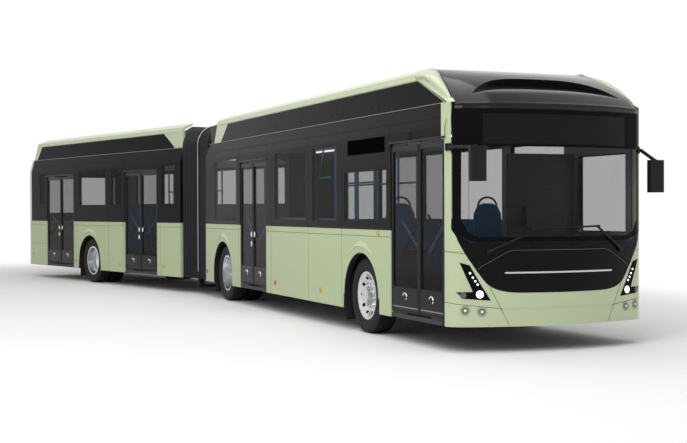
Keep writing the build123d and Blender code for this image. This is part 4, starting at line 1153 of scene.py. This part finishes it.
LAMP = ((-1.188, 0.987), (-1.078, 0.957), (-0.952, 0.74), (-0.846, 0.573), (-1.141, 0.595), (-1.228, 0.665),
        (-1.044, 0.669))
LED_SPOTS = ((-1.075, 0.872), (-1.045, 0.825), (-1.018, 0.785), (-0.992, 0.748))
BEAM = (-0.968, 0.642)
SECOND_BEAM = (-1.15, 0.632)
FOG_LAMPS = ((-1.128, 0.467), (-0.945, 0.454))
GRILLE = ((-0.985, 0.905), (-0.926, 0.945), (-0.668, 1.085), (-0.6, 1.105), (0.6, 1.105), (0.668, 1.085),
          (0.926, 0.945), (0.985, 0.905), (0.887, 0.775), (0.769, 0.71), (0.527, 0.672), (-0.527, 0.672),
          (-0.769, 0.71), (-0.887, 0.775))
BAR = (0.7, 0.873)


def flipped(points):
    return [(-s, z) for s, z in reversed(points)]


def on_side(side, points):
    """Points drawn for the door side, as they lie on either side."""
    return list(points) if side < 0 else flipped(points)


def nose_line(shape, points, width, low, high):
    """A thin band along a run of (s, z) points."""
    for (s0, z0), (s1, z1) in zip(points, points[1:]):
        run = hypot(s1 - s0, z1 - z0)
        side_s = -(z1 - z0) / run * width / 2
        side_z = (s1 - s0) / run * width / 2
        shape.nose([(s0 - side_s, z0 - side_z), (s1 - side_s, z1 - side_z), (s1 + side_s, z1 + side_z),
                    (s0 + side_s, z0 + side_z)], low, high)
    return shape


LAMP_PARTS = (
    ("lamp_leds", LED, LED_SPOTS, 0.011, 12, 0.001, 0.006),
    ("main_beam", LED, (BEAM,), 0.041, 20, 0.001, 0.008),
    ("dip_beam", LENS, (SECOND_BEAM,), 0.034, 20, 0.001, 0.007),
    ("fog_rims", FOG_BOWL, FOG_LAMPS, 0.056, 20, -0.002, 0.003),
    ("fog_lenses", FOG_DARK, FOG_LAMPS, 0.033, 20, 0.002, 0.007),
    ("fog_bulbs", WHITE, FOG_LAMPS, 0.016, 20, 0.006, 0.01),
)
for side, word in SIDES:
    housing = Shape().nose(on_side(side, LAMP), -0.002, 0.0025)
    housing.make(f"lamp_housing_{word}", BLACK, "lamp_lens")
    for name, finish, spots, radius, sides, low, high in LAMP_PARTS:
        part = Shape()
        for s, z in spots:
            part.nose(circle((-side * s, z), radius, sides), low, high)
        part.make(f"{name}_{word}", finish, "lamp_lens")

SEAM_RUNS = (((-1.375, 1.106), (-1.12, 1.083)), ((-1.375, 0.554), (-0.71, 0.482)),
             ((-0.858, 0.72), (-0.639, 0.3)))
nose_seams = Shape()
for side, word in SIDES:
    for run in SEAM_RUNS:
        nose_line(nose_seams, on_side(side, run), SEAM_W, -0.001, 0.0008)
nose_seams.make("nose_seams", SEAM, "body_panels")
crease = nose_line(Shape(), [(-0.7, 0.488), (0, 0.492), (0.7, 0.488)], 0.014, -0.001, 0.004)
crease.make("bumper_crease", GREEN, "body_panels", bevel=0.003)

grille = nose_line(Shape(), list(GRILLE) + [GRILLE[0]], 0.012, -0.001, 0.0012)
grille.make("grille_outline", SEAM_BLACK_AND_HOLE_SHADE, "black_gloss")
flap = Shape().nose([(s * 0.985, z) for s, z in GRILLE], -0.001, 0.0016)
flap.make("grille_flap", MASK_BLACK, "black_gloss")

MASK_RIM_POINTS = ((-1.2, 1.235), (-1.12, 1.089), (-0.995, 0.905), (-0.887, 0.765), (-0.8, 0.705),
                   (-0.68, 0.672), (-0.527, 0.659), (0, 0.654))
MASK_RIM_STEPS = 28
MASK_RIM_UP = 0.014
rim_points = [Vector(p) for p in MASK_RIM_POINTS]
half_rim = [through(rim_points, k / MASK_RIM_STEPS) for k in range(MASK_RIM_STEPS + 1)]
rim_run = [(v.x, v.y + MASK_RIM_UP) for v in half_rim]
mask_rim = nose_line(Shape(), rim_run + flipped(rim_run[:-1]), 0.036, -0.001, 0.0013)
mask_rim.make("mask_rim", MASK_BLACK, "black_gloss")

# A thin grey line above the grille arch: a painted highlight where the edge catches the light
GRILLE_HIGHLIGHT_LINE = ((-0.985, 0.914), (-0.926, 0.956), (-0.668, 1.096), (-0.6, 1.117))
grille_highlight = nose_line(Shape(), list(GRILLE_HIGHLIGHT_LINE) + flipped(GRILLE_HIGHLIGHT_LINE), 0.004, -0.001, 0.0016)
grille_highlight.make("grille_edge_highlight", EDGE_HIGHLIGHT_GREY, "black_gloss")

WIPERS = (
    ((-0.867, 1.107), (-0.505, 1.262), 0.014),
    ((-0.62, 1.262), (0.04, 1.302), 0.011),
    ((0.834, 1.109), (0.46, 1.37), 0.014),
    ((0.5, 1.374), (-0.4, 1.345), 0.011),
)
WIPER_OUT = 0.02
blades = Shape()
for (s0, z0), (s1, z1), radius in WIPERS:
    run = [nose_at(s0 + (s1 - s0) * k / 6, z0 + (z1 - z0) * k / 6, WIPER_OUT) for k in range(7)]
    blades.tube(run, radius, 8)
for arm in (WIPERS[0], WIPERS[2]):
    blades.nose(circle(arm[0], 0.028, 20), 0.0, 0.03)
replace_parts(blades.make("wiper_blades", SATIN, "wiper_black", smooth=50), "wipers")

BAR_END, BAR_Z = BAR
BAR_TAPER = 0.02
BAR_HALF_H = 0.009
taper_s = -BAR_END + BAR_TAPER
bar_left = [(taper_s, BAR_Z + BAR_HALF_H), (-BAR_END, BAR_Z), (taper_s, BAR_Z - BAR_HALF_H)]
bar = Shape().nose(bar_left + flipped(bar_left), 0.0, 0.0145)
bar.make("grille_bar", BAR_METAL, "black_gloss")

GLASS_IN = -0.004
SCREEN_S = 1.27
band = Shape().nose([(-SCREEN_S, 2.245), (SCREEN_S, 2.245), (SCREEN_S, 2.649), (-SCREEN_S, 2.649)], GLASS_IN,
                    GLASS_IN + 0.0015)
band.make("display_band", BLACK, "glazing")
display = [(-0.93, 2.275), (0.93, 2.275), (0.93, 2.6), (-0.93, 2.6)]
window = Shape().nose(display, GLASS_IN + 0.001, GLASS_IN + 0.002)
window.make("display_window", DISPLAY_GREY, "glazing")

SCREEN_UPRIGHT = ((-SCREEN_S, 1.45), (-1.17, 1.45), (-1.165, 2.25), (-SCREEN_S, 2.25))
SCREEN_CORNER = ((-SCREEN_S, 1.45), (-1.265, 1.345), (-1.19, 1.275), (-0.984, 1.206), (-0.97, 1.26),
                 (-1.09, 1.31), (-1.17, 1.45))
SCREEN_FOOT = ((-0.984, 1.206), (0.984, 1.206), (0.97, 1.26), (-0.97, 1.26))
screen_frame = Shape()
for points in (SCREEN_UPRIGHT, flipped(SCREEN_UPRIGHT), SCREEN_CORNER, flipped(SCREEN_CORNER), SCREEN_FOOT):
    screen_frame.nose(points, GLASS_IN, GLASS_IN + 0.0012)
screen_frame.make("screen_frame", BLACK, "glazing")


# Floor, light and camera

def seen_directly(tree):
    """A socket that is 1 on camera, mirror and see-through rays, and 0 on all others."""
    link = tree.links.new
    rays = add_node(tree, "ShaderNodeLightPath")
    first = add_node(tree, "ShaderNodeMath", "MAXIMUM")
    second = add_node(tree, "ShaderNodeMath", "MAXIMUM")
    link(rays.outputs["Is Camera Ray"], first.inputs[0])
    link(rays.outputs["Is Glossy Ray"], first.inputs[1])
    link(first.outputs[0], second.inputs[0])
    link(rays.outputs["Is Transmission Ray"], second.inputs[1])
    return second.outputs[0]


FLOOR_REACH = 400
FADE_FROM = 11.5
FADE_TO = 18
FADE_NARROW = (2.0, 1, 1)


def floor_paint():
    """Pale floor that takes the shadow and turns to plain white away from the bus."""
    material = finish_of("ground_pale", (255, 255, 255), 0.9, level=0.1)
    tree = material.node_tree
    link = tree.links.new
    shader = tree.nodes["Principled BSDF"]
    shader.inputs["Base Color"].default_value = (0.93, 0.93, 0.93, 1)
    glow = add_node(tree, "ShaderNodeEmission")
    place = add_node(tree, "ShaderNodeNewGeometry")
    narrowed = add_node(tree, "ShaderNodeVectorMath", "MULTIPLY")
    narrowed.inputs[1].default_value = FADE_NARROW
    away = add_node(tree, "ShaderNodeVectorMath", "LENGTH")
    fade = add_node(tree, "ShaderNodeMapRange")
    fade.interpolation_type = "SMOOTHSTEP"
    fade.inputs["From Min"].default_value = FADE_FROM
    fade.inputs["From Max"].default_value = FADE_TO
    share = add_node(tree, "ShaderNodeMath", "MULTIPLY")
    blend = add_node(tree, "ShaderNodeMixShader")
    link(place.outputs["Position"], narrowed.inputs[0])
    link(narrowed.outputs["Vector"], away.inputs[0])
    link(away.outputs["Value"], fade.inputs["Value"])
    link(fade.outputs["Result"], share.inputs[0])
    link(seen_directly(tree), share.inputs[1])
    link(share.outputs[0], blend.inputs[0])
    link(shader.outputs[0], blend.inputs[1])
    link(glow.outputs[0], blend.inputs[2])
    link(blend.outputs[0], tree.nodes["Material Output"].inputs["Surface"])
    return material


floor_mesh = bpy.data.meshes.new("ground")
corners = [(a * FLOOR_REACH, b * FLOOR_REACH, 0) for a, b in ((-1, -1), (1, -1), (1, 1), (-1, 1))]
floor_mesh.from_pydata(corners, [], [(0, 1, 2, 3)])
floor_mesh.materials.append(floor_paint())
ground = placed("ground", floor_mesh)
ground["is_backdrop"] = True

ROOM_LIGHT = 0.47
world = bpy.data.worlds.new("studio")
bpy.context.scene.world = world
world.use_nodes = True
tree = world.node_tree
backdrop = tree.nodes["Background"]
backdrop.inputs["Color"].default_value = (1, 1, 1, 1)
level = add_node(tree, "ShaderNodeMapRange")
level.inputs["To Min"].default_value = ROOM_LIGHT
level.inputs["To Max"].default_value = 1.0
tree.links.new(seen_directly(tree), level.inputs["Value"])
tree.links.new(level.outputs["Result"], backdrop.inputs["Strength"])


def area_light(name, place, target, size, power):
    lamp = bpy.data.lights.new(name, "AREA")
    lamp.shape = "RECTANGLE"
    lamp.size, lamp.size_y = size
    lamp.energy = power
    obj = placed(name, lamp)
    obj.location = place
    obj.rotation_euler = (Vector(target) - Vector(place)).to_track_quat("-Z", "Y").to_euler()


area_light("key", (-12, -17, 14), (0, -3, 1), (14, 9), 1450)
area_light("top", (-1.5, -5, 16), (0, -0.5, 0), (12, 26), 1400)

camera_data = bpy.data.cameras.new("view")
camera = placed("view", camera_data)
bpy.context.scene.camera = camera
FOCAL_PX = 1213.061
FRAME_W = 687
CAMERA_AT = (-7.3226, -11.4032, 1.5786)
YAW = radians(22.464)
PITCH = radians(-0.62)
ROLL = radians(-0.217)
camera_data.sensor_width = 36
camera_data.lens = FOCAL_PX * camera_data.sensor_width / FRAME_W
ahead = Vector((sin(YAW) * cos(PITCH), cos(YAW) * cos(PITCH), sin(PITCH)))
level_right = Vector((cos(YAW), -sin(YAW), 0))
level_up = level_right.cross(ahead)
right = level_right * cos(ROLL) + level_up * sin(ROLL)
up = level_up * cos(ROLL) - level_right * sin(ROLL)
facing = Matrix((right, up, -ahead)).transposed().to_4x4()
camera.matrix_world = FRONT @ Matrix.Translation(CAMERA_AT) @ facing
camera_data.clip_end = 500
bpy.context.scene.view_settings.view_transform = "Standard"

low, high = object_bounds()
